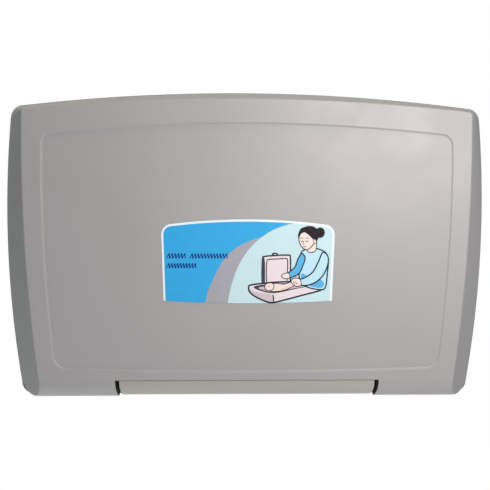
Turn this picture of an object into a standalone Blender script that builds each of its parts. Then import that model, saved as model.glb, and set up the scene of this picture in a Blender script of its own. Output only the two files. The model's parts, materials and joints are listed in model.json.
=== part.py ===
"""Wall-mounted fold-down changing table, closed against its wall.

+X runs along the hinge, +Y into the wall and +Z up. The origin is the middle of the flat back
face. Driving sizes are in millimetres and are turned into metres as each solid is made.
"""

import math

import bmesh
import bpy
from mathutils import Matrix, Vector

MM = 0.001
GAP = 0.3
SPAN = 500.0
SIDES = ((-1, "left"), (1, "right"))

# Depth planes, from the wall outwards.
WALL_Y = 0.0
BACK_FRONT_Y = -44.0
RIM_Y = -46.0
FACE_Y = -105.0

# Hinge.
AXIS_Y = -75.0
AXIS_Z = -245.0
LOBE_R = 30.0
BARREL_R = 27.4
BARREL_HALF = 234.0
LOBE_INNER_X = 241.0
COVE_R = 28.1
BED_EDGE_Z = AXIS_Z + 3.5
ROD_R = 6.0
ROD_BORE_R = 6.4
ROD_WAY_R = 6.9
ROD_LEFT_X = -290.0
ROD_RIGHT_X = 361.0

# Mouldings.
SHELL_T = 3.5
LINER_T = 3.0
LIP_Z = AXIS_Z + 6.0
BACK_OVERLAP = 1.2

# Bed outlines: half width at the widest, its height, the bow of the sides and of the top.
FACE = dict(half=409.0, widest_z=195.0, side_r=3195.0, top_z=268.3, top_r=3800.0, bottom_z=-275.0)
RIM = dict(half=443.5, widest_z=67.0, side_r=1956.0, top_z=284.6, top_r=3380.0, bottom_z=-275.0)
FACE_CORNERS = (6.0, 16.0)
RIM_CORNERS = (20.0, 24.0)
FIELD = dict(half=374.0, widest_z=150.0, side_r=2900.0, top_z=226.8, top_r=3400.0, bottom_z=-226.6)
FIELD_BOTTOM_R = 10000.0
FIELD_CORNERS = (20.0, 25.0)
FIELD_DEPTH = 2.5
FIELD_SLOPE = 2.5

# The child's pocket in the liner.
MOUTH = dict(half=378.0, widest_z=60.0, side_r=2600.0, top_z=240.0, top_r=3600.0, bottom_z=-182.0)
FLOOR = dict(half=335.0, widest_z=60.0, side_r=2600.0, top_z=205.0, top_r=3600.0, bottom_z=-150.0)
MOUTH_CORNERS = (70.0, 60.0)
FLOOR_CORNERS = (50.0, 42.0)
POCKET_DEPTH = 40.0
POCKET_STEPS = (0.0, 0.12, 0.3, 0.5, 0.7, 0.88, 1.0)

# Label plate.
LABEL_HALF_TOP = 158.0
LABEL_HALF_BOTTOM = 153.6
LABEL_TOP_Z = 51.8
LABEL_TOP_R = 1110.0
LABEL_BOTTOM_Z = -100.9
LABEL_BOTTOM_R = 2620.0
LABEL_CORNER = 14.0
LABEL_T = 0.8

# Steel frame.
UPRIGHT_X = 203.0
UPRIGHT_W = 40.0
UPRIGHT_DEPTH = 15.0
STEEL_T = 2.5
UPRIGHT_Z = (-225.0, 215.0)
WALL_HOLE_R = 4.5
WALL_HOLE_Z = (-120.0, 150.0)
RAIL_Z = (176.0, 208.0)
BRACKET_X = 205.0
BRACKET_T = 4.0
ARM_X = 262.0
ARM_W = 38.0
ARM_WEB_T = 3.0
ARM_TOP_Z = 110.0
CROSS_HALF = 300.0
CROSS_Z = (40.0, 80.0)
ARM_FRONT_Y = FACE_Y + SHELL_T + GAP
ARM_REAR_Y = ARM_FRONT_Y + STEEL_T
STRIP_Y = (ARM_REAR_Y + GAP, ARM_REAR_Y + GAP + STEEL_T)
BOLT_X = (272.0, 290.0)
BOLT_Z = sum(CROSS_Z) / 2
BOLT_HOLE_R = 3.3
BOLT_R = 2.9
BUSH_R = 8.5
BUSH_X = (256.0, 272.0)
BUSH_FLANGE_R = 12.0

# Inner panel of the wall unit.
PANEL_Y = (-22.0, -19.1)
PANEL_SCREWS = [(side * 330.0, z) for side in (-1, 1) for z in (-150.0, 180.0)]

# Screws that hold the liner to the shell and the panel to the back.
LINER_SCREWS = [(-404.0, 170.0), (404.0, 170.0), (-396.0, -60.0), (396.0, -60.0)]
LINER_SCREWS += [(-150.0, 250.0), (150.0, 250.0)]
BOSS_R = 6.0
SCREW_HEAD_R = 4.5
SCREW_SHANK_R = 1.9
SCREW_HOLE_R = 2.4
BOSS_HOLE_R = 2.2

# Gas spring: its pin stands on the fixed rod's crank, below and in front of the axis.
SPRING_X = 368.0
PIN_OFFSET = 15.0 * math.sqrt(0.5)
PIN_R = 3.0
EYE_Y = AXIS_Y - 12.8
EYE_Z = AXIS_Z - PIN_OFFSET
EYE_R = 6.6
EYE_HALF_W = 4.0
EYE_SLOT_R = 3.8
EYE_SLOT_HALF = 1.75
CYLINDER_R = 9.0
CYLINDER_Z = (-190.0, 30.0)
CYLINDER_BORE_R = 6.3
CYLINDER_NECK_R = 4.5
STUD_R = 4.0
SPRING_ROD_R = 4.0
PISTON_Z = (-172.0, -160.0)
CRANK_X = (351.0, 357.0)
CRANK_HUB_R = 11.0
CRANK_END_R = 6.5

# Rings that keep the bushes on the rod.
CLIP_X = (273.0, 276.0)
CLIP_R = 9.5

# Liner case.
CASE_HALF = 150.0
CASE_Z = (-80.0, 90.0)
CASE_Y = (-44.0, -4.2)
CASE_T = 2.5
CASE_SLOT_Y = (-41.0, -25.0)
CASE_SLOT_HALF = 115.0
GUIDE_Y = (-53.0, -50.5, -40.0)
COVER_HALF = 145.0
COVER_Y = (-49.0, -46.6)
COVER_LOW_Z = CASE_Z[0] + 3.0

# Strap and buckle.
STRAP_HALF = 19.0
STRAP_T = 1.6
STRAP_LIFT = 0.5
ANCHOR_Z = (-199.0, 255.0)
ANCHOR_HALF = (32.0, 8.0)
SOCKET_Z = (-10.0, 35.0)
PLUG_Z = (36.0, 58.0)
BUCKLE_Y = (-83.0, -72.0)
BUCKLE_WALL = 2.2
PRONG_X = (12.5, 18.5)

# Bag hooks and bumpers.
HOOK_X = 285.0
HOOK_PLATE_HALF = 17.0
HOOK_PLATE_Z = (80.0, 150.0)
HOOK_PLATE_T = 3.0
HOOK_SCREWS = ((11.0, 93.0), (0.0, 138.0))
BUMPER_X = 300.0
BUMPER_HALF = 12.0

# Colours, roughness and metallic.
MATERIALS = {
    "shell_grey": ((0.42, 0.40, 0.37), 0.45, 0.0),
    "back_grey": ((0.20, 0.20, 0.20), 0.5, 0.0),
    "barrel_grey": ((0.40, 0.40, 0.36), 0.45, 0.0),
    "liner_grey": ((0.50, 0.48, 0.45), 0.5, 0.0),
    "label_print": ((0.15, 0.55, 0.80), 0.35, 0.0),
    "painted_steel": ((0.08, 0.08, 0.09), 0.4, 0.6),
    "zinc_steel": ((0.62, 0.63, 0.64), 0.3, 1.0),
    "rod_steel": ((0.75, 0.75, 0.76), 0.18, 1.0),
    "spring_black": ((0.02, 0.02, 0.02), 0.35, 0.3),
    "bearing_white": ((0.80, 0.80, 0.77), 0.5, 0.0),
    "rubber": ((0.03, 0.03, 0.03), 0.8, 0.0),
    "webbing": ((0.05, 0.06, 0.09), 0.85, 0.0),
    "buckle_black": ((0.02, 0.02, 0.02), 0.4, 0.0),
}


# ---------------------------------------------------------------- helpers


def clear_scene():
    for obj in list(bpy.data.objects):
        bpy.data.objects.remove(obj, do_unlink=True)


def material(name):
    found = bpy.data.materials.get(name)
    if found:
        return found
    colour, roughness, metallic = MATERIALS[name]
    made = bpy.data.materials.new(name)
    made.use_nodes = True
    shader = made.node_tree.nodes["Principled BSDF"]
    shader.inputs["Base Color"].default_value = (*colour, 1.0)
    shader.inputs["Roughness"].default_value = roughness
    shader.inputs["Metallic"].default_value = metallic
    return made


def new_object(name, bm, slot, smooth_angle=35.0):
    """An object from a bmesh whose coordinates are in millimetres."""
    bmesh.ops.scale(bm, vec=(MM, MM, MM), verts=bm.verts)
    bmesh.ops.recalc_face_normals(bm, faces=bm.faces)
    mesh = bpy.data.meshes.new(name)
    bm.to_mesh(mesh)
    bm.free()
    mesh.shade_smooth()
    mesh.set_sharp_from_angle(angle=math.radians(smooth_angle))
    obj = bpy.data.objects.new(name, mesh)
    bpy.context.scene.collection.objects.link(obj)
    if slot:
        mesh.materials.append(material(slot))
    return obj


def loft(name, rings, slot=None):
    """A closed solid through rings of the same number of points."""
    bm = bmesh.new()
    loops = [[bm.verts.new(point) for point in ring] for ring in rings]
    for lower, upper in zip(loops, loops[1:]):
        for i in range(len(lower)):
            j = (i + 1) % len(lower)
            bm.faces.new((lower[i], lower[j], upper[j], upper[i]))
    bm.faces.new(loops[0])
    bm.faces.new(loops[-1])
    return new_object(name, bm, slot)


def along_x(name, profile, x0, x1, slot=None):
    """Extrudes a (y, z) profile from x0 to x1."""
    return loft(name, [[(x, y, z) for y, z in profile] for x in (x0, x1)], slot)


def along_y(name, profile, y0, y1, slot=None):
    """Extrudes an (x, z) profile from y0 to y1."""
    return loft(name, [[(x, y, z) for x, z in profile] for y in (y0, y1)], slot)


def along_z(name, profile, z0, z1, slot=None):
    """Extrudes an (x, y) profile from z0 to z1."""
    return loft(name, [[(x, y, z) for x, y in profile] for z in (z0, z1)], slot)


def box(name, x, y, z, slot=None):
    return along_z(name, [(x[0], y[0]), (x[1], y[0]), (x[1], y[1]), (x[0], y[1])], *z, slot)


def arc(centre, radius, start, end, steps):
    """Points on a circle, from start to end degrees."""
    turns = [math.radians(start + (end - start) * i / steps) for i in range(steps + 1)]
    return [(centre[0] + radius * math.cos(a), centre[1] + radius * math.sin(a)) for a in turns]


def circle(centre, radius, steps=24):
    return arc(centre, radius, 0, 360, steps)[:-1]


def stadium(centre, half, radius, steps=8):
    """A slot outline whose straight sides run along the first coordinate."""
    right = arc((centre[0] + half, centre[1]), radius, -90, 90, steps)
    left = arc((centre[0] - half, centre[1]), radius, 90, 270, steps)
    return right + left


def rod_x(name, y, z, radius, x0, x1, slot=None, steps=24):
    return along_x(name, circle((y, z), radius, steps), x0, x1, slot)


def rod_y(name, x, z, radius, y0, y1, slot=None, steps=16):
    return along_y(name, circle((x, z), radius, steps), y0, y1, slot)


def rod_z(name, x, y, radius, z0, z1, slot=None, steps=24):
    return along_z(name, circle((x, y), radius, steps), z0, z1, slot)


def combine(target, operation, helper):
    """A live Boolean with a hidden helper."""
    helper.hide_render = True
    helper.display_type = "WIRE"
    modifier = target.modifiers.new(f"{operation.lower()} {helper.name}", "BOOLEAN")
    modifier.operation = operation
    modifier.solver = "EXACT"
    modifier.object = helper
    return target


def cut(target, *helpers):
    for helper in helpers:
        combine(target, "DIFFERENCE", helper)
    return target


def join(target, *helpers):
    for helper in helpers:
        combine(target, "UNION", helper)
    return target


def keep_inside(target, helper):
    return combine(target, "INTERSECT", helper)


def pivot_at(obj, x, y, z):
    """Moves the object's origin without moving its shape."""
    point = Vector((x, y, z)) * MM
    obj.data.transform(Matrix.Translation(-point))
    obj.location = point


def hang_on_hinge(objects):
    """Parents the bed's objects to an empty on the hinge axis, without moving them."""
    hinge = bpy.data.objects.new("bed_hinge", None)
    hinge.location = Vector((0.0, AXIS_Y, AXIS_Z)) * MM
    bpy.context.scene.collection.objects.link(hinge)
    for obj in objects:
        obj.parent = hinge
        obj.matrix_parent_inverse = Matrix.Translation(-hinge.location)


# ---------------------------------------------------------------- outlines


def side_x(shape, z, inset):
    bow = (z - shape["widest_z"]) ** 2 / (2 * shape["side_r"])
    return shape["half"] - inset - bow


def top_z(shape, x, inset):
    return shape["top_z"] - inset - x * x / (2 * shape["top_r"])


def quarter(a, b, centre, steps):
    """Points strictly between a and b on the quarter ellipse about centre."""
    points = []
    for i in range(1, steps):
        turn = 0.5 * math.pi * i / steps
        along_a = (a[0] - centre[0], a[1] - centre[1])
        along_b = (b[0] - centre[0], b[1] - centre[1])
        x = centre[0] + along_a[0] * math.cos(turn) + along_b[0] * math.sin(turn)
        z = centre[1] + along_a[1] * math.cos(turn) + along_b[1] * math.sin(turn)
        points.append((x, z))
    return points


def outline(shape, corners, inset=0.0, bottom_r=None, sides=10, tops=8, rounds=5):
    """The (x, z) outline of a bowed panel, from the middle of its bottom edge, anticlockwise."""
    top_corner, bottom_corner = [max(r - inset, 1.5) for r in corners]
    low = shape["bottom_z"] + inset
    bottom_x = side_x(shape, low, inset) - bottom_corner
    rise = bottom_x**2 / (2 * bottom_r) if bottom_r else 0.0
    low_corner_z = low + rise
    side_low = low_corner_z + bottom_corner
    corner_z = top_z(shape, shape["half"] - inset, inset)
    side_high = corner_z - top_corner
    top_x = side_x(shape, corner_z, inset) - top_corner
    right = []
    for i in range(1, tops + 1):
        x = bottom_x * i / tops
        right.append((x, low + (x * x / (2 * bottom_r) if bottom_r else 0.0)))
    start = (side_x(shape, side_low, inset), side_low)
    right += quarter((bottom_x, low_corner_z), start, (bottom_x, side_low), rounds)
    for i in range(sides + 1):
        z = side_low + (side_high - side_low) * i / sides
        right.append((side_x(shape, z, inset), z))
    end = (top_x, top_z(shape, top_x, inset))
    right += quarter(right[-1], end, (top_x, side_high), rounds)
    for i in range(tops):
        x = top_x * (1 - i / tops)
        right.append((x, top_z(shape, x, inset)))
    left = [(-x, z) for x, z in reversed(right)]
    return [(0.0, low)] + right + [(0.0, top_z(shape, 0.0, inset))] + left


def at_depth(points, y):
    return [(x, y, z) for x, z in points]


def bed_form(name, inset):
    """The bed's flared block, set in from its outer skin and run past its faces and lower edge."""
    face = outline(dict(FACE, bottom_z=FACE["bottom_z"] - 3), FACE_CORNERS, inset)
    rim = outline(dict(RIM, bottom_z=RIM["bottom_z"] - 3), RIM_CORNERS, inset)
    rings = []
    for y in (FACE_Y - 5, RIM_Y + 5):
        t = (y - FACE_Y) / (RIM_Y - FACE_Y)
        pairs = zip(face, rim)
        rings.append([(a[0] + (b[0] - a[0]) * t, y, a[1] + (b[1] - a[1]) * t) for a, b in pairs])
    return loft(name, rings)


def lobe_outside():
    """Side view of the bed: flat face and rim, and a round lower edge about the hinge."""
    top = AXIS_Z + 600
    reach = math.degrees(math.acos((RIM_Y - AXIS_Y) / LOBE_R))
    under = arc((AXIS_Y, AXIS_Z), LOBE_R, 180, 360 - reach, 24)
    return [(FACE_Y, top)] + under + [(RIM_Y, top)]


def lobe_inside():
    """Side view of the bed's hollow, which opens to the rear above the lip of the lobes."""
    top = AXIS_Z + 600
    radius = LOBE_R - SHELL_T
    rear = RIM_Y + 10
    under = arc((AXIS_Y, AXIS_Z), radius, 180, 360, 24)
    return [(AXIS_Y - radius, top)] + under + [(AXIS_Y + radius, LIP_Z), (rear, LIP_Z), (rear, top)]


def barrel_profile(grow):
    """Side view of what the bed leaves free round the barrel as it folds, grown by a wall."""
    radius = COVE_R + grow
    rear = AXIS_Y + 60
    low = AXIS_Z - 60
    front = [(AXIS_Y - radius, low)]
    start = 180
    if grow == 0:
        front = [(FACE_Y - 10, low), (FACE_Y - 10, BED_EDGE_Z)]
        start = 180 - math.degrees(math.asin((BED_EDGE_Z - AXIS_Z) / radius))
    round_part = arc((AXIS_Y, AXIS_Z), radius, start, 90, 12)
    return front + round_part + [(rear, AXIS_Z + radius), (rear, low)]


# ---------------------------------------------------------------- bed


def door_cavity():
    """The hollow of the bed, around the cove's wall and the bosses for the liner's screws."""
    cavity = bed_form("door_cavity", SHELL_T)
    keep_inside(cavity, along_x("lobe_inside", lobe_inside(), -SPAN, SPAN))
    inner_x = LOBE_INNER_X + SHELL_T
    cut(cavity, along_x("cove_wall", barrel_profile(SHELL_T), -inner_x, inner_x))
    for i, (x, z) in enumerate(LINER_SCREWS):
        cut(cavity, rod_y(f"boss_{i}", x, z, BOSS_R, FACE_Y - 10, RIM_Y - LINER_T - 0.4))
    return cavity


def field_recess():
    """The shallow field in the face, with a sloped step round it."""
    rings = []
    for inset in (-FIELD_SLOPE, 0.0, FIELD_SLOPE):
        points = outline(FIELD, FIELD_CORNERS, inset, FIELD_BOTTOM_R)
        rings.append(at_depth(points, FACE_Y + inset / FIELD_SLOPE * FIELD_DEPTH))
    return loft("field_recess", rings)


def make_door_shell():
    shell = bed_form("door_shell", 0.0)
    shell.data.materials.append(material("shell_grey"))
    keep_inside(shell, along_x("lobe_outside", lobe_outside(), -SPAN, SPAN))
    cut(shell, door_cavity())
    cut(shell, along_x("barrel_space", barrel_profile(0.0), -LOBE_INNER_X, LOBE_INNER_X))
    cut(shell, rod_x("rod_way", AXIS_Y, AXIS_Z, ROD_WAY_R, ROD_LEFT_X - 10, ROD_RIGHT_X + 4))
    cut(shell, field_recess())
    for i, (x, z) in enumerate(LINER_SCREWS):
        cut(shell, rod_y(f"boss_hole_{i}", x, z, BOSS_HOLE_R, RIM_Y - 16, RIM_Y + 1))
    pivot_at(shell, 0, AXIS_Y, AXIS_Z)


def pocket_y(t):
    """Depth of the liner's surface, t from the pocket's mouth (0) to its floor (1)."""
    return RIM_Y - POCKET_DEPTH * (3 * t * t - 2 * t * t * t)


def pocket_ring(t, lower):
    """One ring of the liner's pocket; lower is the distance to its underside."""
    mouth = outline(MOUTH, MOUTH_CORNERS, -lower * 0.7)
    floor = outline(FLOOR, FLOOR_CORNERS, -lower * 0.7)
    y = pocket_y(t) - lower
    return [(a[0] + (b[0] - a[0]) * t, y, a[1] + (b[1] - a[1]) * t) for a, b in zip(mouth, floor)]


def make_bed_liner():
    edge = dict(RIM, bottom_z=LIP_Z - SHELL_T)
    rings = [pocket_ring(t, LINER_T) for t in reversed(POCKET_STEPS)]
    rings.append(at_depth(outline(edge, RIM_CORNERS, SHELL_T + 2.6), RIM_Y - LINER_T))
    rings.append(at_depth(outline(edge, RIM_CORNERS, SHELL_T + 0.5), RIM_Y))
    rings += [pocket_ring(t, 0.0) for t in POCKET_STEPS]
    liner = loft("bed_liner", rings, "liner_grey")
    half = LOBE_INNER_X + SHELL_T + 0.5
    cut(liner, along_x("liner_notch", barrel_profile(SHELL_T + 0.5), -half, half))
    for i, (x, z) in enumerate(LINER_SCREWS):
        cut(liner, rod_y(f"liner_hole_{i}", x, z, SCREW_HOLE_R, RIM_Y - 8, RIM_Y + 2, steps=12))


def label_outline():
    """The label's outline: bowed top with round corners, straight sides, bowed bottom."""
    bottom = []
    steps = 8
    low_x = LABEL_HALF_BOTTOM
    for i in range(steps + 1):
        x = -low_x + 2 * low_x * i / steps
        bottom.append((x, LABEL_BOTTOM_Z + x * x / (2 * LABEL_BOTTOM_R)))
    corner_x = LABEL_HALF_TOP - LABEL_CORNER
    corner_top = LABEL_TOP_Z - corner_x**2 / (2 * LABEL_TOP_R)
    corner_low = corner_top - LABEL_CORNER
    right = [(LABEL_HALF_TOP, corner_low)]
    right += quarter(right[0], (corner_x, corner_top), (corner_x, corner_low), 5)
    for i in range(steps // 2):
        x = corner_x * (1 - 2 * i / steps)
        right.append((x, LABEL_TOP_Z - x * x / (2 * LABEL_TOP_R)))
    left = [(-x, z) for x, z in reversed(right)]
    return bottom + right + [(0.0, LABEL_TOP_Z)] + left


def make_label_plate():
    rear = FACE_Y + FIELD_DEPTH - GAP
    along_y("label_plate", label_outline(), rear - LABEL_T, rear, "label_print")


def arm_web():
    """Side view of an arm's web: a round hub about the axis under a straight run to the face."""
    hub = arc((AXIS_Y, AXIS_Z), 13.0, -120, 60, 12)
    front = ARM_FRONT_Y + 0.5
    return [(front, AXIS_Z + 42), (front, AXIS_Z + 2)] + hub + [(AXIS_Y - 4, AXIS_Z + 42)]


def make_arms():
    """Steel arms from the hinge up behind the face."""
    for side, word in SIDES:
        xs = sorted((side * ARM_X, side * (ARM_X + ARM_W)))
        arm_z = (AXIS_Z + 13, ARM_TOP_Z)
        arm = box(f"bed_arm_{word}", xs, (ARM_FRONT_Y, ARM_REAR_Y), arm_z, "zinc_steel")
        web_x = sorted((side * ARM_X, side * (ARM_X + ARM_WEB_T)))
        join(arm, along_x(f"arm_web_{word}", arm_web(), *web_x))
        bore_x = sorted((side * 240, side * 280))
        cut(arm, rod_x(f"arm_bore_{word}", AXIS_Y, AXIS_Z, BUSH_R + GAP, *bore_x))
        for i, x in enumerate(BOLT_X):
            hole = (ARM_FRONT_Y - 2, ARM_FRONT_Y + 8)
            cut(arm, rod_y(f"arm_hole_{word}_{i}", side * x, BOLT_Z, BOLT_HOLE_R, *hole))
        pivot_at(arm, 0, AXIS_Y, AXIS_Z)


def make_cross_member():
    """The strip that joins the arms, behind them."""
    strip = box("cross_member", (-CROSS_HALF, CROSS_HALF), STRIP_Y, CROSS_Z, "zinc_steel")
    for side, word in SIDES:
        for i, x in enumerate(BOLT_X):
            hole = (ARM_FRONT_Y - 2, STRIP_Y[1] + 4)
            cut(strip, rod_y(f"strip_hole_{word}_{i}", side * x, BOLT_Z, BOLT_HOLE_R, *hole))


def make_arm_bolts():
    head = (STRIP_Y[1] + GAP, STRIP_Y[1] + GAP + 2.6)
    for side, word in SIDES:
        for i, x in enumerate(BOLT_X):
            name = f"arm_bolt_{word}_{i + 1}"
            bolt = along_y(name, circle((side * x, BOLT_Z), 5.0, 6), *head, "zinc_steel")
            shank = (ARM_FRONT_Y, head[0] + 1)
            join(bolt, rod_y(f"{name}_shank", side * x, BOLT_Z, BOLT_R, *shank, steps=12))


def make_bushes():
    for side, word in SIDES:
        body = sorted(side * x for x in BUSH_X)
        bush = rod_x(f"bush_{word}", AXIS_Y, AXIS_Z, BUSH_R, *body, "bearing_white")
        flange = sorted((side * BUSH_X[0], side * (ARM_X - GAP)))
        join(bush, rod_x(f"bush_flange_{word}", AXIS_Y, AXIS_Z, BUSH_FLANGE_R, *flange))
        bore_x = sorted((side * 250, side * 280))
        cut(bush, rod_x(f"bush_bore_{word}", AXIS_Y, AXIS_Z, ROD_BORE_R, *bore_x))


def make_liner_screws():
    head = (RIM_Y + GAP, RIM_Y + GAP + 1.5)
    for i, (x, z) in enumerate(LINER_SCREWS):
        name = f"liner_screw_{i + 1}"
        screw = rod_y(name, x, z, SCREW_HEAD_R, *head, "zinc_steel")
        join(screw, rod_y(f"{name}_shank", x, z, SCREW_SHANK_R, RIM_Y - 12, RIM_Y + 1, steps=12))


def make_gas_spring_cylinder():
    low, high = CYLINDER_Z
    cylinder = rod_z("gas_spring_cylinder", SPRING_X, EYE_Y, CYLINDER_R, low, high, "spring_black")
    join(cylinder, rod_z("cylinder_stud", SPRING_X, EYE_Y, STUD_R, high - 2, high + 12))
    cut(cylinder, rod_z("cylinder_bore", SPRING_X, EYE_Y, CYLINDER_BORE_R, low + 6, high - 8))
    cut(cylinder, rod_z("cylinder_neck", SPRING_X, EYE_Y, CYLINDER_NECK_R, low - 5, low + 7))


def make_gas_spring_bracket():
    """An angle on the face that takes the cylinder's stud in its shelf."""
    high = CYLINDER_Z[1]
    wide = (SPRING_X - 15, SPRING_X + 15)
    plate_y = (ARM_FRONT_Y, ARM_REAR_Y)
    bracket = box("gas_spring_bracket", wide, plate_y, (high + 1, high + 40), "zinc_steel")
    join(bracket, box("spring_shelf", wide, (ARM_FRONT_Y + 1, EYE_Y + 9), (high + 4, high + 7)))
    cut(bracket, rod_z("shelf_hole", SPRING_X, EYE_Y, STUD_R + 0.4, high, high + 12))


def make_gas_spring_rod():
    """The sliding rod: an eye with a short slot for the crank's pin, a shaft and a piston."""
    eye_x = (SPRING_X - EYE_HALF_W, SPRING_X + EYE_HALF_W)
    eye = stadium((EYE_Y, EYE_Z), EYE_SLOT_HALF, EYE_R)
    plunger = along_x("gas_spring_rod", eye, *eye_x, "rod_steel")
    shaft_z = (EYE_Z + 5, PISTON_Z[0] + 1)
    join(plunger, rod_z("plunger_shaft", SPRING_X, EYE_Y, SPRING_ROD_R, *shaft_z))
    join(plunger, rod_z("plunger_piston", SPRING_X, EYE_Y, CYLINDER_BORE_R - 0.3, *PISTON_Z))
    slot = stadium((EYE_Y, EYE_Z), EYE_SLOT_HALF, EYE_SLOT_R)
    cut(plunger, along_x("plunger_slot", slot, SPRING_X - 10, SPRING_X + 10))
    pivot_at(plunger, SPRING_X, EYE_Y, EYE_Z)


def make_strap_anchors():
    half_x, half_z = ANCHOR_HALF
    plate_y = (RIM_Y + GAP, RIM_Y + 4.5)
    for z, word in zip(ANCHOR_Z, ("lower", "upper")):
        plate_z = (z - half_z, z + half_z)
        box(f"strap_anchor_{word}", (-half_x, half_x), plate_y, plate_z, "buckle_black")


def surface_path(z_from, z_to, steps):
    """(y, z) points of the liner's surface at x = 0, between two heights."""
    points = []
    for i in range(steps + 1):
        z = z_from + (z_to - z_from) * i / steps
        if z > FLOOR["top_z"]:
            t = (MOUTH["top_z"] - z) / (MOUTH["top_z"] - FLOOR["top_z"])
        else:
            t = (z - MOUTH["bottom_z"]) / (FLOOR["bottom_z"] - MOUTH["bottom_z"])
        points.append((pocket_y(min(max(t, 0.0), 1.0)), z))
    return points


def strap_profile(path):
    """A ribbon of webbing laid on a path, as a closed (y, z) profile."""
    under, over = [], []
    for i, (y, z) in enumerate(path):
        before = Vector(path[max(i - 1, 0)])
        after = Vector(path[min(i + 1, len(path) - 1)])
        run = (after - before).normalized()
        normal = Vector((run.y, -run.x))
        if normal.x < 0:
            normal = -normal
        under.append((y + normal.x * STRAP_LIFT, z + normal.y * STRAP_LIFT))
        top = STRAP_LIFT + STRAP_T
        over.append((y + normal.x * top, z + normal.y * top))
    return under + over[::-1]


def make_straps():
    lower = surface_path(ANCHOR_Z[0] + 8.5, -146.0, 10) + [(pocket_y(1.0), SOCKET_Z[0] - GAP)]
    along_x("strap_lower", strap_profile(lower), -STRAP_HALF, STRAP_HALF, "webbing")
    upper = [(pocket_y(1.0), PLUG_Z[1] + GAP)] + surface_path(201.0, ANCHOR_Z[1] - 8.5, 10)
    along_x("strap_upper", strap_profile(upper), -STRAP_HALF, STRAP_HALF, "webbing")


def make_buckle():
    low, high = SOCKET_Z
    front, rear = BUCKLE_Y
    socket = box("buckle_socket", (-25, 25), BUCKLE_Y, SOCKET_Z, "buckle_black")
    inside_y = (front + BUCKLE_WALL, rear - BUCKLE_WALL)
    cut(socket, box("socket_mouth", (-20, 20), inside_y, (low + 16, high + 5)))
    plug = box("buckle_plug", (-22, 22), (front + 0.5, rear - 0.5), PLUG_Z, "buckle_black")
    tongue_y = (inside_y[0] + 0.6, inside_y[1] - 0.6)
    root_z = PLUG_Z[0] + 1
    join(plug, box("plug_tongue", (-5, 5), tongue_y, (low + 18, root_z)))
    for side, word in SIDES:
        xs = sorted(side * x for x in PRONG_X)
        join(plug, box(f"plug_prong_{word}", xs, tongue_y, (low + 20, root_z)))
    pivot_at(plug, 0, sum(BUCKLE_Y) / 2, PLUG_Z[0])


# ---------------------------------------------------------------- wall unit


def make_back_shell():
    rim = outline(RIM, RIM_CORNERS, -BACK_OVERLAP)
    shell = along_y("back_shell", rim, BACK_FRONT_Y, WALL_Y, "back_grey")
    inside = outline(RIM, RIM_CORNERS, SHELL_T - BACK_OVERLAP)
    cut(shell, along_y("back_inside", inside, BACK_FRONT_Y - 5, WALL_Y - SHELL_T))
    for i, (x, z) in enumerate(PANEL_SCREWS):
        join(shell, rod_y(f"panel_boss_{i}", x, z, BOSS_R, PANEL_Y[1] + GAP, WALL_Y - 1))
        cut(shell, rod_y(f"panel_boss_hole_{i}", x, z, BOSS_HOLE_R, PANEL_Y[1] - 1, -8, steps=12))
    for side, word in SIDES:
        for i, z in enumerate(WALL_HOLE_Z):
            cut(shell, rod_y(f"shell_hole_{word}_{i}", side * UPRIGHT_X, z, WALL_HOLE_R, -10, 5))


def make_inner_panel():
    """Moulded panel over the steel frame, with a window for the liner case."""
    edge = outline(RIM, RIM_CORNERS, SHELL_T - BACK_OVERLAP + 0.5)
    panel = along_y("inner_panel", edge, *PANEL_Y, "liner_grey")
    half = CASE_HALF + 0.6
    window_y = (PANEL_Y[0] - 5, PANEL_Y[1] + 5)
    cut(panel, box("panel_window", (-half, half), window_y, (CASE_Z[0] - 0.6, CASE_Z[1] + 0.6)))
    for side, word in SIDES:
        xs = sorted((side * (BRACKET_X - 2), side * (BRACKET_X + BRACKET_T + 2)))
        cut(panel, box(f"panel_slit_{word}", xs, window_y, (AXIS_Z - 20, AXIS_Z + 80)))
    for i, (x, z) in enumerate(PANEL_SCREWS):
        hole_y = (PANEL_Y[0] - 2, PANEL_Y[1] + 2)
        cut(panel, rod_y(f"panel_hole_{i}", x, z, SCREW_HOLE_R, *hole_y, steps=12))


def make_panel_screws():
    rear = PANEL_Y[0] - GAP
    for i, (x, z) in enumerate(PANEL_SCREWS):
        name = f"panel_screw_{i + 1}"
        screw = rod_y(name, x, z, SCREW_HEAD_R, rear - 1.6, rear, "zinc_steel")
        shank_y = (PANEL_Y[0] - 1, -9.0)
        join(screw, rod_y(f"{name}_shank", x, z, SCREW_SHANK_R, *shank_y, steps=12))


def make_uprights():
    web_y = WALL_Y - SHELL_T - GAP
    for side, word in SIDES:
        x0 = side * UPRIGHT_X - UPRIGHT_W / 2
        x1 = side * UPRIGHT_X + UPRIGHT_W / 2
        front = web_y - UPRIGHT_DEPTH
        channel = [(x0, web_y), (x0, front), (x0 + STEEL_T, front), (x0 + STEEL_T, web_y - STEEL_T)]
        channel += [(x1 - STEEL_T, web_y - STEEL_T), (x1 - STEEL_T, front), (x1, front), (x1, web_y)]
        upright = along_z(f"upright_{word}", channel, *UPRIGHT_Z, "painted_steel")
        for i, z in enumerate(WALL_HOLE_Z):
            cut(upright, rod_y(f"upright_hole_{word}_{i}", side * UPRIGHT_X, z, WALL_HOLE_R, -12, 2))


def make_top_rail():
    half = UPRIGHT_X - UPRIGHT_W / 2 - GAP
    rear = WALL_Y - SHELL_T - GAP
    low, high = RAIL_Z
    angle = [(rear, low), (rear, high), (rear - 12, high), (rear - 12, high - STEEL_T)]
    angle += [(rear - STEEL_T, high - STEEL_T), (rear - STEEL_T, low)]
    along_x("top_rail", angle, -half, half, "painted_steel")


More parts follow.
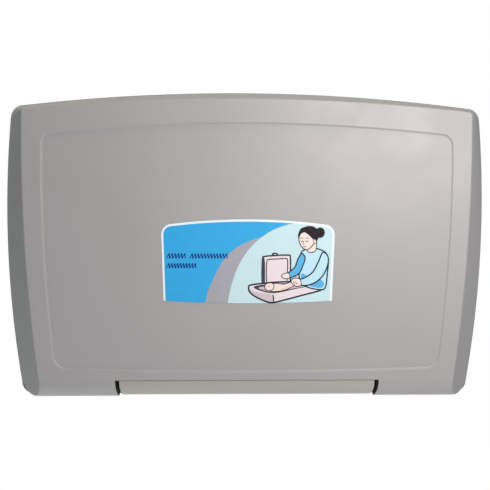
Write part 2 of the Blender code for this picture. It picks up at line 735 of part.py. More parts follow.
def bracket_profile(rear):
    """Side view of a hinge bracket: a round nose about the rod and a tall foot at the wall."""
    hub = arc((AXIS_Y, AXIS_Z), 12.0, 90, 270, 12)
    plate = [(rear, AXIS_Z + 75), (rear - 10, AXIS_Z + 75), (rear - 22, AXIS_Z + 16)]
    plate += [(AXIS_Y, AXIS_Z + 12)] + hub[1:]
    return plate + [(rear - 22, AXIS_Z - 14), (rear, AXIS_Z + 22)]


def make_hinge_brackets():
    """Plates on the uprights that reach forward inside the barrel to the rod."""
    rear = WALL_Y - SHELL_T - 2 * GAP - STEEL_T
    for side, word in SIDES:
        xs = sorted((side * BRACKET_X, side * (BRACKET_X + BRACKET_T)))
        bracket = along_x(f"hinge_bracket_{word}", bracket_profile(rear), *xs, "painted_steel")
        foot_x = (side * UPRIGHT_X - 14, side * UPRIGHT_X + 14)
        foot_z = (AXIS_Z + 24, AXIS_Z + 85)
        join(bracket, box(f"bracket_foot_{word}", foot_x, (rear - STEEL_T, rear), foot_z))
        bore_x = sorted((side * (BRACKET_X - 10), side * (BRACKET_X + 12)))
        cut(bracket, rod_x(f"bracket_bore_{word}", AXIS_Y, AXIS_Z, ROD_BORE_R, *bore_x))


def make_hinge_rod():
    rod_x("hinge_rod", AXIS_Y, AXIS_Z, ROD_R, ROD_LEFT_X, ROD_RIGHT_X, "rod_steel")


def make_rod_clips():
    for side, word in SIDES:
        x0, x1 = sorted(side * x for x in CLIP_X)
        ring = rod_x(f"rod_clip_{word}", AXIS_Y, AXIS_Z, CLIP_R, x0, x1, "zinc_steel", steps=20)
        cut(ring, rod_x(f"clip_bore_{word}", AXIS_Y, AXIS_Z, ROD_BORE_R, x0 - 2, x1 + 2))


def make_barrel_cover():
    """Half-round cover whose tail runs back into the wall unit; open to the rear."""

    def section(radius):
        round_part = arc((AXIS_Y, AXIS_Z), radius, 90, 270, 24)
        return [(-30.0, AXIS_Z + radius)] + round_part + [(-30.0, AXIS_Z - radius)]

    cover = along_x("barrel_cover", section(BARREL_R), -BARREL_HALF, BARREL_HALF, "barrel_grey")
    inner = [(y + (20 if y > -31 else 0), z) for y, z in section(BARREL_R - 3.0)]
    cut(cover, along_x("barrel_hollow", inner, 3 - BARREL_HALF, BARREL_HALF - 3))
    cut(cover, rod_x("barrel_bore", AXIS_Y, AXIS_Z, ROD_WAY_R, -BARREL_HALF - 5, BARREL_HALF + 5))


def make_spring_crank():
    pin_y = AXIS_Y - PIN_OFFSET
    pin_z = AXIS_Z - PIN_OFFSET
    crank = rod_x("spring_crank", AXIS_Y, AXIS_Z, CRANK_HUB_R, *CRANK_X, "zinc_steel")
    join(crank, rod_x("crank_end", pin_y, pin_z, CRANK_END_R, *CRANK_X))
    join(crank, rod_x("crank_pin", pin_y, pin_z, PIN_R, CRANK_X[0] + 1, SPRING_X + 5.5, steps=20))
    cut(crank, rod_x("crank_bore", AXIS_Y, AXIS_Z, ROD_BORE_R, CRANK_X[0] - 5, CRANK_X[1] + 5))


def guide_profile(side):
    """Top view of the channel that holds one edge of the refill cover."""
    front, lip, root = GUIDE_Y
    outer = side * CASE_HALF
    inner = side * (COVER_HALF + 2.2)
    tip = side * (COVER_HALF - 7.0)
    return [(outer, root), (outer, front), (tip, front), (tip, lip), (inner, lip), (inner, root)]


def make_liner_case():
    low, high = CASE_Z
    case = box("dispenser_box", (-CASE_HALF, CASE_HALF), CASE_Y, CASE_Z, "liner_grey")
    inner_x = CASE_HALF - CASE_T
    inside_y = (CASE_Y[0] - 5, CASE_Y[1] - CASE_T)
    cut(case, box("case_inside", (-inner_x, inner_x), inside_y, (low + CASE_T, high - CASE_T)))
    slot_x = (-CASE_SLOT_HALF, CASE_SLOT_HALF)
    cut(case, box("case_slot", slot_x, CASE_SLOT_Y, (low - 5, low + 8)))
    for side, word in SIDES:
        join(case, along_z(f"case_guide_{word}", guide_profile(side), low + 1, high - 1))
    stop_y = (GUIDE_Y[0], GUIDE_Y[2])
    join(case, box("case_stop", (1 - CASE_HALF, CASE_HALF - 1), stop_y, (low + 0.5, low + 2.5)))


def make_refill_cover():
    low = COVER_LOW_Z
    plate_x = (-COVER_HALF, COVER_HALF)
    cover = box("dispenser_door", plate_x, COVER_Y, (low, CASE_Z[1]), "shell_grey")
    tab_y = (COVER_Y[0] - 5, COVER_Y[0] + 0.5)
    join(cover, box("cover_tab", (-30, 30), tab_y, (low + 12, low + 18)))
    pivot_at(cover, 0, COVER_Y[0], low)


def hook_profile(rear):
    """Side view of a bag hook's arm, which rises at its tip."""
    over = [(rear - 1, 88), (rear - 1, 110), (rear - 4, 110), (rear - 10, 97), (rear - 32, 96)]
    tip = [(rear - 36, 100), (rear - 38, 122), (rear - 43, 122), (rear - 42, 96), (rear - 35, 88)]
    return over + tip


def make_bag_hooks():
    rear = PANEL_Y[0] - GAP
    front = rear - HOOK_PLATE_T
    for side, word in SIDES:
        x = side * HOOK_X
        plate_x = (x - HOOK_PLATE_HALF, x + HOOK_PLATE_HALF)
        plate = box(f"bag_hook_{word}", plate_x, (front, rear), HOOK_PLATE_Z, "zinc_steel")
        join(plate, along_x(f"hook_arm_{word}", hook_profile(rear), x - 5, x + 5))
        for i, (dx, z) in enumerate(HOOK_SCREWS):
            name = f"hook_screw_{word}_{i + 1}"
            rod_y(name, x + dx, z, 4.0, front - GAP - 2, front - GAP, "zinc_steel")


def make_bumpers():
    """Rubber stops for the closed bed, just under the top edge."""
    for side, word in SIDES:
        low_x = side * BUMPER_X - BUMPER_HALF
        high_x = side * BUMPER_X + BUMPER_HALF
        points = [(x, top_z(RIM, x, 0.3)) for x in (low_x, high_x)]
        points += [(x, top_z(RIM, x, 2.0)) for x in (high_x, low_x)]
        along_y(f"bumper_{word}", points, BACK_FRONT_Y - 1.6, BACK_FRONT_Y - GAP, "rubber")


def make_wall_unit():
    make_back_shell()
    make_inner_panel()
    make_panel_screws()
    make_uprights()
    make_top_rail()
    make_hinge_brackets()
    make_hinge_rod()
    make_rod_clips()
    make_barrel_cover()
    make_spring_crank()
    make_liner_case()
    make_refill_cover()
    make_bag_hooks()
    make_bumpers()


def make_bed():
    make_door_shell()
    make_bed_liner()
    make_label_plate()
    make_arms()
    make_cross_member()
    make_arm_bolts()
    make_bushes()
    make_liner_screws()
    make_gas_spring_cylinder()
    make_gas_spring_bracket()
    make_gas_spring_rod()
    make_strap_anchors()
    make_straps()
    make_buckle()


def main():
    clear_scene()
    make_wall_unit()
    fixed = set(bpy.data.objects)
    make_bed()
    hang_on_hinge([obj for obj in bpy.data.objects if obj not in fixed])


main()
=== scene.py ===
"""Looks of the wall-mounted fold-down changing table, closed on its wall.

Sizes are in millimetres until a mesh is made. +X runs along the hinge, +Y into the wall, +Z up.
"""

import json
from math import asin, atan2, copysign, cos, degrees, hypot, pi, radians, sin, sqrt

import bmesh
import bpy
from mathutils import Matrix, Vector


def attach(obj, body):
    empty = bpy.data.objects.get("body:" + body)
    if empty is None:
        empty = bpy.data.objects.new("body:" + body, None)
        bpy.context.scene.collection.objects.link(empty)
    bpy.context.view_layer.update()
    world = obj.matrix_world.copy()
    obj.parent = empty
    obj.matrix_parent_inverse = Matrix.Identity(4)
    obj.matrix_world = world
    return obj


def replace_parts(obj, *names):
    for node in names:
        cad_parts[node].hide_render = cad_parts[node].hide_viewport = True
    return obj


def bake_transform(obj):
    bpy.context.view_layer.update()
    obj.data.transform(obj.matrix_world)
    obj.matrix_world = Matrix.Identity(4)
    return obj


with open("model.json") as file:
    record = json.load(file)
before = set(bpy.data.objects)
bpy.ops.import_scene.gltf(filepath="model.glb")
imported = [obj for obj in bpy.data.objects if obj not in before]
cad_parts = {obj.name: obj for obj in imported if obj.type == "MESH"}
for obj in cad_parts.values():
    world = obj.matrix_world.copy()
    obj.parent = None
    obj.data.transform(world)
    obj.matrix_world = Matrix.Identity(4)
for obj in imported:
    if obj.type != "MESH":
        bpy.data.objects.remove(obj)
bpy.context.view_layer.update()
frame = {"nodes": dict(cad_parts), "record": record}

MM = 0.001

# Depth planes, the hinge and wall thicknesses.
WALL_Y = 0.0
BACK_FRONT_Y = -44.0
RIM_Y = -46.0
FACE_Y = -105.0
AXIS_Y = -75.0
AXIS_Z = -245.0
LOBE_R = 30.0
LOBE_INNER_X = 241.0
BARREL_R = 27.4
BARREL_HALF = 234.0
COVE_R = 28.1
ROD_WAY_R = 6.9
BED_EDGE_Z = AXIS_Z + 3.5
LIP_Z = AXIS_Z + 6.0
SHELL_T = 3.5
LINER_T = 3.0
BACK_OVERLAP = 1.2

# Bed outlines. side_bow and top_bow are drop per square millimetre; corners are radii.
FACE = dict(half=409.0, widest_z=195.0, side_bow=1 / 6390, top_z=270.3, top_bow=1 / 7600,
            low_z=-275.0, low_bow=0.0, top_corner=6.0, low_corner=16.0)
RIM = dict(half=443.5, widest_z=67.0, side_bow=1 / 3912, top_z=284.6, top_bow=1 / 6760,
           low_z=-275.0, low_bow=0.0, top_corner=20.0, low_corner=20.0)
FIELD = dict(half=374.0, widest_z=150.0, side_bow=1 / 5800, top_z=226.8, top_bow=1 / 6800,
             low_z=-226.6, low_bow=1 / 20000, top_corner=20.0, low_corner=25.0)

# The child's pocket in the liner.
MOUTH = dict(half=378.0, widest_z=60.0, side_bow=1 / 5200, top_z=240.0, top_bow=1 / 7200,
             low_z=-182.0, low_bow=0.0, top_corner=70.0, low_corner=60.0)
FLOOR = dict(half=335.0, widest_z=60.0, side_bow=1 / 5200, top_z=205.0, top_bow=1 / 7200,
             low_z=-150.0, low_bow=0.0, top_corner=50.0, low_corner=42.0)
POCKET_DEPTH = 40.0


# ---------------- node materials


def srgb(red, green, blue):
    """A linear colour from 0-255 display values."""
    def linear(value):
        v = value / 255
        return v / 12.92 if v <= 0.04045 else ((v + 0.055) / 1.055) ** 2.4
    return (linear(red), linear(green), linear(blue), 1.0)


def add_node(tree, kind, **inputs):
    """A shader node with its inputs set; one given as another node's output is linked."""
    made = tree.nodes.new(f"ShaderNode{kind}")
    for name, value in inputs.items():
        socket = made.inputs[name.replace("_", " ")]
        if isinstance(value, bpy.types.NodeSocket):
            tree.links.new(value, socket)
        else:
            socket.default_value = value
    return made


class Paint:
    """A Principled material with helpers for its texture nodes."""

    def __init__(self, name, roughness, metallic=0.0):
        self.mat = bpy.data.materials.new(name)
        self.mat.use_nodes = True
        self.tree = self.mat.node_tree
        self.shader = self.tree.nodes["Principled BSDF"]
        self.set("Roughness", roughness).set("Metallic", metallic)
        self.place = self.node("TexCoord").outputs["Object"]

    def node(self, kind, **inputs):
        return add_node(self.tree, kind, **inputs)

    def set(self, socket, value):
        self.shader.inputs[socket].default_value = value
        return self

    def link(self, output, socket):
        self.tree.links.new(output, self.shader.inputs[socket])

    def noise(self, scale, detail=2.0, stretch=None, rough=0.5):
        where = self.place
        if stretch:
            where = self.node("Mapping", Vector=where, Scale=stretch).outputs["Vector"]
        made = self.node("TexNoise", Vector=where, Scale=scale, Detail=detail, Roughness=rough)
        return made.outputs["Fac"]

    def ramp(self, factor, stops):
        """A colour that runs through the two stops, given as (position, colour)."""
        made = self.node("ValToRGB", Fac=factor)
        for element, (position, colour) in zip(made.color_ramp.elements, stops):
            element.position = position
            element.color = colour
        return made.outputs["Color"]

    def ranged(self, factor, low, high):
        """Noise, which lies mostly between 0.3 and 0.7, spread from low to high."""
        span = dict(From_Min=0.3, From_Max=0.7, To_Min=low, To_Max=high)
        return self.node("MapRange", Value=factor, **span).outputs["Result"]

    def bump(self, height, strength, distance, **under):
        """A bumped normal; Normal= is the one that it goes on top of."""
        made = self.node("Bump", Height=height, Strength=strength, Distance=distance, **under)
        return made.outputs["Normal"]

    def tinted(self, colour, spread, scale):
        """Base colour that drifts a little either side of colour."""
        darker = tuple(c * (1 - spread) for c in colour[:3]) + (1.0,)
        lighter = tuple(min(c * (1 + spread), 1.0) for c in colour[:3]) + (1.0,)
        drift = self.ramp(self.noise(scale, 3.0), [(0.3, darker), (0.7, lighter)])
        self.link(drift, "Base Color")


def moulded_plastic(name, colour, roughness=0.42, grain=520.0, depth=0.00012):
    """Injection-moulded plastic: fine spark grain, faint flow and handling marks."""
    paint = Paint(name, roughness)
    paint.tinted(colour, 0.035, 3.0)
    handled = paint.ranged(paint.noise(14.0, 4.0), roughness - 0.05, roughness + 0.06)
    paint.link(handled, "Roughness")
    flow = paint.bump(paint.noise(9.0, 2.0), 0.12, 0.0006)
    paint.link(paint.bump(paint.noise(grain, 3.0, rough=0.65), 0.35, depth, Normal=flow), "Normal")
    return paint.mat


def powder_coat(name, colour, roughness=0.45):
    """Paint baked on steel, with a fine orange-peel texture."""
    paint = Paint(name, roughness)
    paint.tinted(colour, 0.12, 30.0)
    paint.link(paint.bump(paint.noise(380.0, 2.0), 0.4, 0.0002), "Normal")
    return paint.mat


def plated_metal(name, colour, roughness, stretch=(4.0, 60.0, 60.0), spread=0.1):
    """Plated steel, streaked along the axis where stretch is small."""
    paint = Paint(name, roughness, 1.0)
    paint.tinted(colour, spread, 25.0)
    streaks = paint.noise(30.0, 4.0, stretch)
    paint.link(paint.ranged(streaks, roughness - 0.06, roughness + 0.1), "Roughness")
    paint.link(paint.bump(streaks, 0.12, 0.0001), "Normal")
    return paint.mat


def soft_rubber(name, colour):
    paint = Paint(name, 0.75)
    paint.tinted(colour, 0.25, 60.0)
    paint.link(paint.bump(paint.noise(700.0, 2.0), 0.5, 0.0001), "Normal")
    return paint.mat


def printed(name, colour):
    """Ink on a label sheet under a thin clear film."""
    paint = Paint(name, 0.5)
    paint.set("Specular IOR Level", 0.22)
    paint.tinted(colour, 0.02, 40.0)
    paint.link(paint.ranged(paint.noise(30.0, 3.0), 0.44, 0.56), "Roughness")
    paint.link(paint.bump(paint.noise(60.0, 2.0), 0.05, 0.0002), "Normal")
    return paint.mat


def woven(name, colour):
    """Webbing: warp ridges crossed by the weft, with fibre fuzz; the low parts of the weave are
    painted darker as shade between the threads.
    """
    paint = Paint(name, 0.8)
    paint.set("Sheen Weight", 0.35).set("Sheen Roughness", 0.4)
    waves = []
    for axis, scale in (("X", 300.0), ("Z", 260.0)):
        wave = paint.node("TexWave", Vector=paint.place, Scale=scale, Distortion=0.4)
        wave.bands_direction = axis
        waves.append(wave.outputs["Fac"])
    both = paint.node("Math")
    both.operation = "MULTIPLY"
    for wave, factor in zip(waves, both.inputs):
        paint.tree.links.new(wave, factor)
    # Painted shade: where the weave's bump sinks, the colour drops to 0.45 of itself.
    dark = tuple(c * 0.45 for c in colour[:3]) + (1.0,)
    paint.link(paint.ramp(both.outputs[0], [(0.0, dark), (0.7, colour)]), "Base Color")
    paint.link(paint.bump(both.outputs[0], 0.8, 0.0004), "Normal")
    return paint.mat


MATERIALS = {
    "shell_grey": moulded_plastic("bed_shell_plastic", srgb(167, 167, 167)),
    "back_grey": moulded_plastic("wall_shell_plastic", srgb(140, 139, 136), 0.5),
    "barrel_grey": moulded_plastic("barrel_plastic", srgb(173, 171, 165), 0.4, 700.0),
    "liner_grey": moulded_plastic("liner_plastic", srgb(196, 192, 187), 0.45, 420.0, 0.0002),
    "label_print": printed("label_white", srgb(228, 240, 244)),
    "painted_steel": powder_coat("black_powder_coat", srgb(38, 39, 41)),
    "zinc_steel": plated_metal("zinc_plate", srgb(196, 197, 194), 0.34),
    "rod_steel": plated_metal("ground_steel", srgb(214, 214, 216), 0.16, (60.0, 4.0, 60.0), 0.04),
    "spring_black": powder_coat("spring_lacquer", srgb(20, 20, 22), 0.25),
    "bearing_white": moulded_plastic("acetal", srgb(228, 226, 218), 0.4, 900.0, 0.00005),
    "rubber": soft_rubber("bumper_rubber", srgb(30, 30, 30)),
    "webbing": woven("strap_webbing", srgb(58, 64, 78)),
    "buckle_black": moulded_plastic("buckle_plastic", srgb(26, 27, 29), 0.4, 800.0),
}


# ---------------- mesh helpers

# The rounding of edges where a piece keeps its CAD shape, and the angle that makes an edge.
EDGE_BEVEL = 0.4
EDGE_ANGLE = 32.0


def metre_mesh(name, bm):
    """A mesh in metres from a bmesh in millimetres."""
    bmesh.ops.scale(bm, vec=(MM, MM, MM), verts=bm.verts)
    bmesh.ops.recalc_face_normals(bm, faces=bm.faces)
    mesh = bpy.data.meshes.new(name)
    bm.to_mesh(mesh)
    bm.free()
    return mesh


def add_object(name, data):
    obj = bpy.data.objects.new(name, data)
    bpy.context.scene.collection.objects.link(obj)
    return obj


def smooth(mesh, sharp):
    """Smooth shading, broken at edges over the sharp angle."""
    mesh.shade_smooth()
    mesh.set_sharp_from_angle(angle=radians(sharp))


def keep_flats(obj):
    """Keeps the wide faces flat in the shading."""
    obj.modifiers.new("flat faces", "WEIGHTED_NORMAL").keep_sharp = True


def piece(name, bm, body, slot, sharp=40.0, material=None, flats=True):
    """A smooth-shaded object from a bmesh in millimetres, riding on a CAD body."""
    obj = add_object(name, metre_mesh(name, bm))
    smooth(obj.data, sharp)
    obj.data.materials.append(material or MATERIALS[slot])
    if flats:
        keep_flats(obj)
    if body:
        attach(obj, body)
    return obj


def loft(bm, rings, closed=True, capped=False, skip=None):
    """Quads between rings of the same number of points; skip(i, j) leaves one out."""
    loops = [[bm.verts.new(point) for point in ring] for ring in rings]
    count = len(loops[0])
    for i, (lower, upper) in enumerate(zip(loops, loops[1:])):
        for j in range(count if closed else count - 1):
            if skip and skip(i, j):
                continue
            k = (j + 1) % count
            bm.faces.new((lower[j], lower[k], upper[k], upper[j]))
    if capped:
        bm.faces.new(loops[0])
        bm.faces.new(loops[-1])
    return loops


def refine(node, body, slot):
    """The CAD node's shape with rounded edges, standing for the node."""
    bm = bmesh.new()
    bm.from_mesh(frame["nodes"][node].data)
    bmesh.ops.remove_doubles(bm, verts=bm.verts, dist=1e-6)
    flat = radians(0.6)
    bmesh.ops.dissolve_limit(bm, angle_limit=flat, verts=bm.verts, edges=bm.edges)
    bmesh.ops.scale(bm, vec=(1 / MM,) * 3, verts=bm.verts)
    obj = piece(f"{node}_look", bm, body, slot, EDGE_ANGLE, flats=False)
    modifier = obj.modifiers.new("edges", "BEVEL")
    modifier.width = EDGE_BEVEL * MM
    modifier.segments = 2
    modifier.limit_method = "ANGLE"
    modifier.angle_limit = radians(EDGE_ANGLE)
    modifier.harden_normals = False
    keep_flats(obj)
    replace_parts(obj, node)


def carve(obj, bm):
    """Cuts the closed shapes in bm, in millimetres, out of obj for good."""
    cutter = add_object("cutter", metre_mesh("cutter", bm))
    modifier = obj.modifiers.new("cut", "BOOLEAN")
    modifier.solver = "EXACT"
    modifier.object = cutter
    weighted = [m for m in obj.modifiers if m.type == "WEIGHTED_NORMAL"]
    for other in weighted:
        other.show_viewport = False
    bpy.context.view_layer.update()
    shape = obj.evaluated_get(bpy.context.evaluated_depsgraph_get())
    carved = bpy.data.meshes.new_from_object(shape)
    obj.modifiers.remove(modifier)
    whole, tool = obj.data, cutter.data
    obj.data = carved
    bpy.data.objects.remove(cutter)
    for mesh in (whole, tool):
        bpy.data.meshes.remove(mesh)
    smooth(carved, EDGE_ANGLE)
    for other in weighted:
        other.show_viewport = True


def ring_at(points, y):
    return [(x, y, z) for x, z in points]


def solid(rings):
    """A bmesh with one closed solid through the rings."""
    bm = bmesh.new()
    loft(bm, rings, capped=True)
    return bm


def add_prism(bm, points, y0, y1):
    """A closed prism along Y from an (x, z) outline."""
    loft(bm, [ring_at(points, y) for y in (y0, y1)], capped=True)


def prisms(*shapes):
    """A bmesh of closed prisms along Y, each given as outline, y from and y to."""
    bm = bmesh.new()
    for shape in shapes:
        add_prism(bm, *shape)
    return bm


def rounded_box(x0, x1, z0, z1, radius, steps=4):
    corners = ((x1 - radius, z0 + radius, -90), (x1 - radius, z1 - radius, 0),
               (x0 + radius, z1 - radius, 90), (x0 + radius, z0 + radius, 180))
    points = []
    for x, z, start in corners:
        for i in range(steps + 1):
            turn = radians(start + 90 * i / steps)
            points.append((x + radius * cos(turn), z + radius * sin(turn)))
    return points


def add_slab(bm, x0, x1, z0, z1, radius, profile, shrink=1.0, steps=4):
    """A rounded box along Y, by (inset, y) rings; its corner radius drops by shrink * inset."""
    rings = []
    for inset, y in profile:
        box = (x0 + inset, x1 - inset, z0 + inset, z1 - inset)
        rings.append(ring_at(rounded_box(*box, radius - shrink * inset, steps), y))
    loft(bm, rings, capped=True)


def disc(x, z, radius, steps=24):
    turns = [2 * pi * i / steps for i in range(steps)]
    return [(x + radius * cos(a), z + radius * sin(a)) for a in turns]


def hinge_arc(radius, turns):
    """(y, z) points round the hinge axis, at turns in degrees from +Y towards +Z."""
    angles = [radians(turn) for turn in turns]
    return [(AXIS_Y + radius * cos(a), AXIS_Z + radius * sin(a)) for a in angles]


def mirrored(points):
    return [(-x, z) for x, z in reversed(points)]


# ---------------- outlines

INNER_STEPS = 30
OUTER_STEPS = 18
ROUND_STEPS = 9
SIDE_STEPS = 60
TOP_STEPS = 48
MIN_CORNER = 0.8
# How far the bed's outlines run on below the lobes, which then round them off softly.
LOW_SPARE = 12.0
LOW_BLEND = 3.0
END_SLANT = 5.5


def mixed(a, b, t):
    return {key: a[key] + (b[key] - a[key]) * t for key in a}


def quarter(a, b, centre, steps):
    """Points strictly between a and b on the quarter ellipse about centre."""
    points = []
    for i in range(1, steps):
        turn = 0.5 * pi * i / steps
        u, v = cos(turn), sin(turn)
        points.append(tuple(c + (p - c) * u + (q - c) * v for p, q, c in zip(a, b, centre)))
    return points


def outline(shape, inset=0.0):
    """A bowed panel's (x, z) outline from the middle of its lower edge, anticlockwise.

    A point always falls at the lobes' inner ends, so that the lower edge can be cut there.
    """
    half = shape["half"] - inset

    def side(z):
        return half - shape["side_bow"] * (z - shape["widest_z"]) ** 2

    def top(x):
        return shape["top_z"] - inset - shape["top_bow"] * x * x

    def low(x):
        return shape["low_z"] + inset + shape["low_bow"] * x * x

    r_top = max(shape["top_corner"] - inset, MIN_CORNER)
    r_low = max(shape["low_corner"] - inset, MIN_CORNER)
    low_x = side(shape["low_z"]) - r_low
    low_z = low(low_x)
    start = (side(low_z + r_low), low_z + r_low)
    corner_z = top(half)
    end_z = corner_z - r_top
    top_x = side(corner_z) - r_top
    outer = low_x - LOBE_INNER_X
    xs = [LOBE_INNER_X * i / INNER_STEPS for i in range(1, INNER_STEPS + 1)]
    xs += [LOBE_INNER_X + outer * i / OUTER_STEPS for i in range(1, OUTER_STEPS + 1)]
    right = [(x, low(x)) for x in xs]
    right += quarter((low_x, low_z), start, (low_x, start[1]), ROUND_STEPS)
    zs = [start[1] + (end_z - start[1]) * i / SIDE_STEPS for i in range(SIDE_STEPS + 1)]
    right += [(side(z), z) for z in zs]
    right += quarter((side(end_z), end_z), (top_x, top(top_x)), (top_x, end_z), ROUND_STEPS)
    xs = [top_x * (1 - i / TOP_STEPS) for i in range(TOP_STEPS)]
    right += [(x, top(x)) for x in xs]
    return [(0.0, low(0.0))] + right + [(0.0, top(0.0))] + mirrored(right)


def bowed_rings(shape, profile):
    """The outline's rings at each (inset, y) of the profile."""
    return [ring_at(outline(shape, inset), y) for inset, y in profile]


def soft_floor(z, lowest):
    """z, but never under lowest, turning smoothly."""
    gap = z - lowest
    return lowest + 0.5 * (gap + sqrt(gap * gap + LOW_BLEND * LOW_BLEND))


def bed_ring(y, inset=0.0, lowest=None):
    """One section of the bed's shell across its depth, drawn in by inset."""
    shape = mixed(FACE, RIM, (y - FACE_Y) / (RIM_Y - FACE_Y))
    shape["low_z"] -= LOW_SPARE
    if lowest is None:
        reach = LOBE_R - inset
        lowest = AXIS_Z - sqrt(max(reach**2 - (y - AXIS_Y) ** 2, 0.0))
    return [(x, y, soft_floor(z, lowest)) for x, z in outline(shape, inset)]


def end_slant(z):
    """How far the lobes' and the barrel's facing ends lean towards the middle, below the axis."""
    share = min(max((AXIS_Z - z) / LOBE_R, 0.0), 1.0)
    return END_SLANT * share * share


# ---------------- the bed's outer shell

FILLET_INSET = 1.5
FILLET_DEPTH = 2.2
# The flat strip inside the face's edge rounding, and its rise over the cut-out for the barrel.
STRIP_W = 1.4
STRIP_RISE = 1.2
# The step down into the recessed field: how far in from its outline, and how deep.
FIELD_DEPTH = 2.5
FIELD_STEP = ((-1.1, 0.0), (-0.5, 0.12), (0.0, 0.5), (0.5, 1.0), (1.1, 1.55), (1.7, 2.05),
              (2.3, 2.38), (3.2, FIELD_DEPTH))
# Turns round the lobe, in degrees from the face, closer together where its curve shows.
OUTER_TURNS = (*range(0, 28, 4), 30, 37, *range(45, 145, 9), 152, 158, 162, 165)
INNER_TURNS = range(150, -1, -10)
COVE_STEPS = 24
# The washers below are painted shade: dark rubber rings that make the gaps beside the barrel look
# shaded.
WASHER_R = 27.7
WASHER_GAP = 0.15
WASHER_T = 1.9
WASHER_BORE = ROD_WAY_R + 0.6
WASHER_STEPS = 48


def fillet_inset(depth):
    """How far the face's edge rounding draws the outline in, at a depth behind the face."""
    share = max(1 - depth / FILLET_DEPTH, 0.0)
    return FILLET_INSET * (1 - sqrt(max(1 - share * share, 0.0)))


def is_barrel_gap(index, count):
    """Whether the strip from this outline point to the next lies between the lobes."""
    return index < INNER_STEPS or index >= count - INNER_STEPS


def make_bed_shell():
    """The bed's outside from the field on its face round to its rim, and its inside."""
    bm = bmesh.new()
    count = len(outline(FACE))
    front = bowed_rings(FIELD, [(inset, FACE_Y + depth) for inset, depth in FIELD_STEP])[::-1]
    front.append(bed_ring(FACE_Y, FILLET_INSET + STRIP_W, BED_EDGE_Z + STRIP_RISE))
    front.append(bed_ring(FACE_Y, FILLET_INSET, BED_EDGE_Z))
    outside = []
    for turn in OUTER_TURNS:
        y = AXIS_Y - LOBE_R * cos(radians(turn))
        outside.append(bed_ring(y, fillet_inset(y - FACE_Y)))
    outside += [bed_ring(RIM_Y - 0.5, 0.15), bed_ring(RIM_Y, 0.6)]
    inside = [bed_ring(RIM_Y, SHELL_T - 0.6), bed_ring(RIM_Y - 0.5, SHELL_T)]
    for turn in INNER_TURNS:
        y = AXIS_Y - (LOBE_R - SHELL_T) * cos(radians(turn))
        inside.append(bed_ring(y, SHELL_T))
    first_open = len(front) - 1

    def gap(i, j):
        return i >= first_open and is_barrel_gap(j, count)

    loops = loft(bm, front + outside + inside, skip=gap)
    bm.faces.new(loops[0])
    bmesh.ops.remove_doubles(bm, verts=bm.verts, dist=0.01)
    add_cove(bm)
    for side in (-1, 1):
        edge = [(side * LOBE_INNER_X, y, z) for y, z in cheek_edge()]
        add_bored_end(bm, edge, side * SHELL_T)
    for vert in bm.verts:
        if abs(abs(vert.co.x) - LOBE_INNER_X) < 0.01:
            vert.co.x -= copysign(end_slant(vert.co.z), vert.co.x)
    bmesh.ops.delete(bm, geom=[v for v in bm.verts if not v.link_faces], context="VERTS")
    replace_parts(piece("bed_shell", bm, "bed", "shell_grey", 48.0), "door_shell")


def add_cove(bm):
    """The hollow between the lobes that clears the fixed barrel."""
    start = 180 - degrees(asin((BED_EDGE_Z - AXIS_Z) / COVE_R))
    turns = [start + (90 - start) * i / COVE_STEPS for i in range(COVE_STEPS + 1)]
    section = [(FACE_Y, BED_EDGE_Z), *hinge_arc(COVE_R, turns), (RIM_Y, AXIS_Z + COVE_R)]
    ends = (-LOBE_INNER_X, LOBE_INNER_X)
    loft(bm, [[(x, y, z) for y, z in section] for x in ends], closed=False)


def cheek_edge():
    """The lobe's end seen from the side, as (y, z) points round the hinge axis."""
    top = [(y, AXIS_Z + COVE_R) for y in (AXIS_Y, AXIS_Y + 14, RIM_Y)]
    rim = [(RIM_Y, AXIS_Z + rise) for rise in (14, 0, -7.7)]
    front = [(FACE_Y + 0.02, AXIS_Z - 1.0), (FACE_Y, BED_EDGE_Z)]
    cove = hinge_arc(COVE_R, range(173, 90, -4))
    return cove + top + rim + hinge_arc(LOBE_R, range(340, 186, -5)) + front


def add_bored_end(bm, edge, depth):
    """An end face inside edge, with the hole that the hinge rod passes through."""
    hole = []
    for x, y, z in edge:
        turn = atan2(z - AXIS_Z, y - AXIS_Y)
        hole.append((x, AXIS_Y + ROD_WAY_R * cos(turn), AXIS_Z + ROD_WAY_R * sin(turn)))
    loft(bm, [edge, hole, [(x + depth, y, z) for x, y, z in hole]])


def make_painted_shade_washers():
    """Dark rubber washers on the lobes' ends, which close the view past the barrel: painted shade
    for the dark gaps there.
    """
    seat, front = LOBE_INNER_X - WASHER_GAP, LOBE_INNER_X - WASHER_T
    profile = [(WASHER_BORE, seat), (WASHER_R, seat), (WASHER_R, front + 0.5),
               (WASHER_R - 0.6, front), (WASHER_BORE, front)]
    turns = [360 * i / WASHER_STEPS for i in range(WASHER_STEPS)]
    for side, word in ((-1, "left"), (1, "right")):
        bm = bmesh.new()
        rings = []
        for radius, x in profile:
            arc = hinge_arc(radius, turns)
            rings.append([(side * (x - end_slant(z)), y, z) for y, z in arc])
        loft(bm, rings + rings[:1])
        bmesh.ops.remove_doubles(bm, verts=bm.verts, dist=0.001)
        # Painted shade: a black ring where the gap past the barrel would only be in shade.
        piece(f"painted_shade_washer_{word}", bm, "bed", "rubber", 50.0)


# ---------------- label

LABEL_REAR = FACE_Y + FIELD_DEPTH - 0.3
LABEL_FRONT = LABEL_REAR - 0.8
LABEL_CHAMFER = 0.15
LABEL_HALF_TOP = 158.0
LABEL_HALF_BOTTOM = 153.6
LABEL_TOP_Z = 51.8
LABEL_TOP_BOW = 1 / 2220
LABEL_BOTTOM_Z = -100.9
LABEL_BOTTOM_BOW = 1 / 5240
LABEL_CORNER = 19.0
LABEL_BORDER = 4.0
LABEL_LOW_STEPS = 32
LABEL_TOP_STEPS = 24
LABEL_ROUND_STEPS = 8
OVAL_STEPS = 28
# How far each printed shape stands in front of the last, and a scale on every pen width.
LAYER = 0.02
PEN = 1.35
TAPER = 0.25

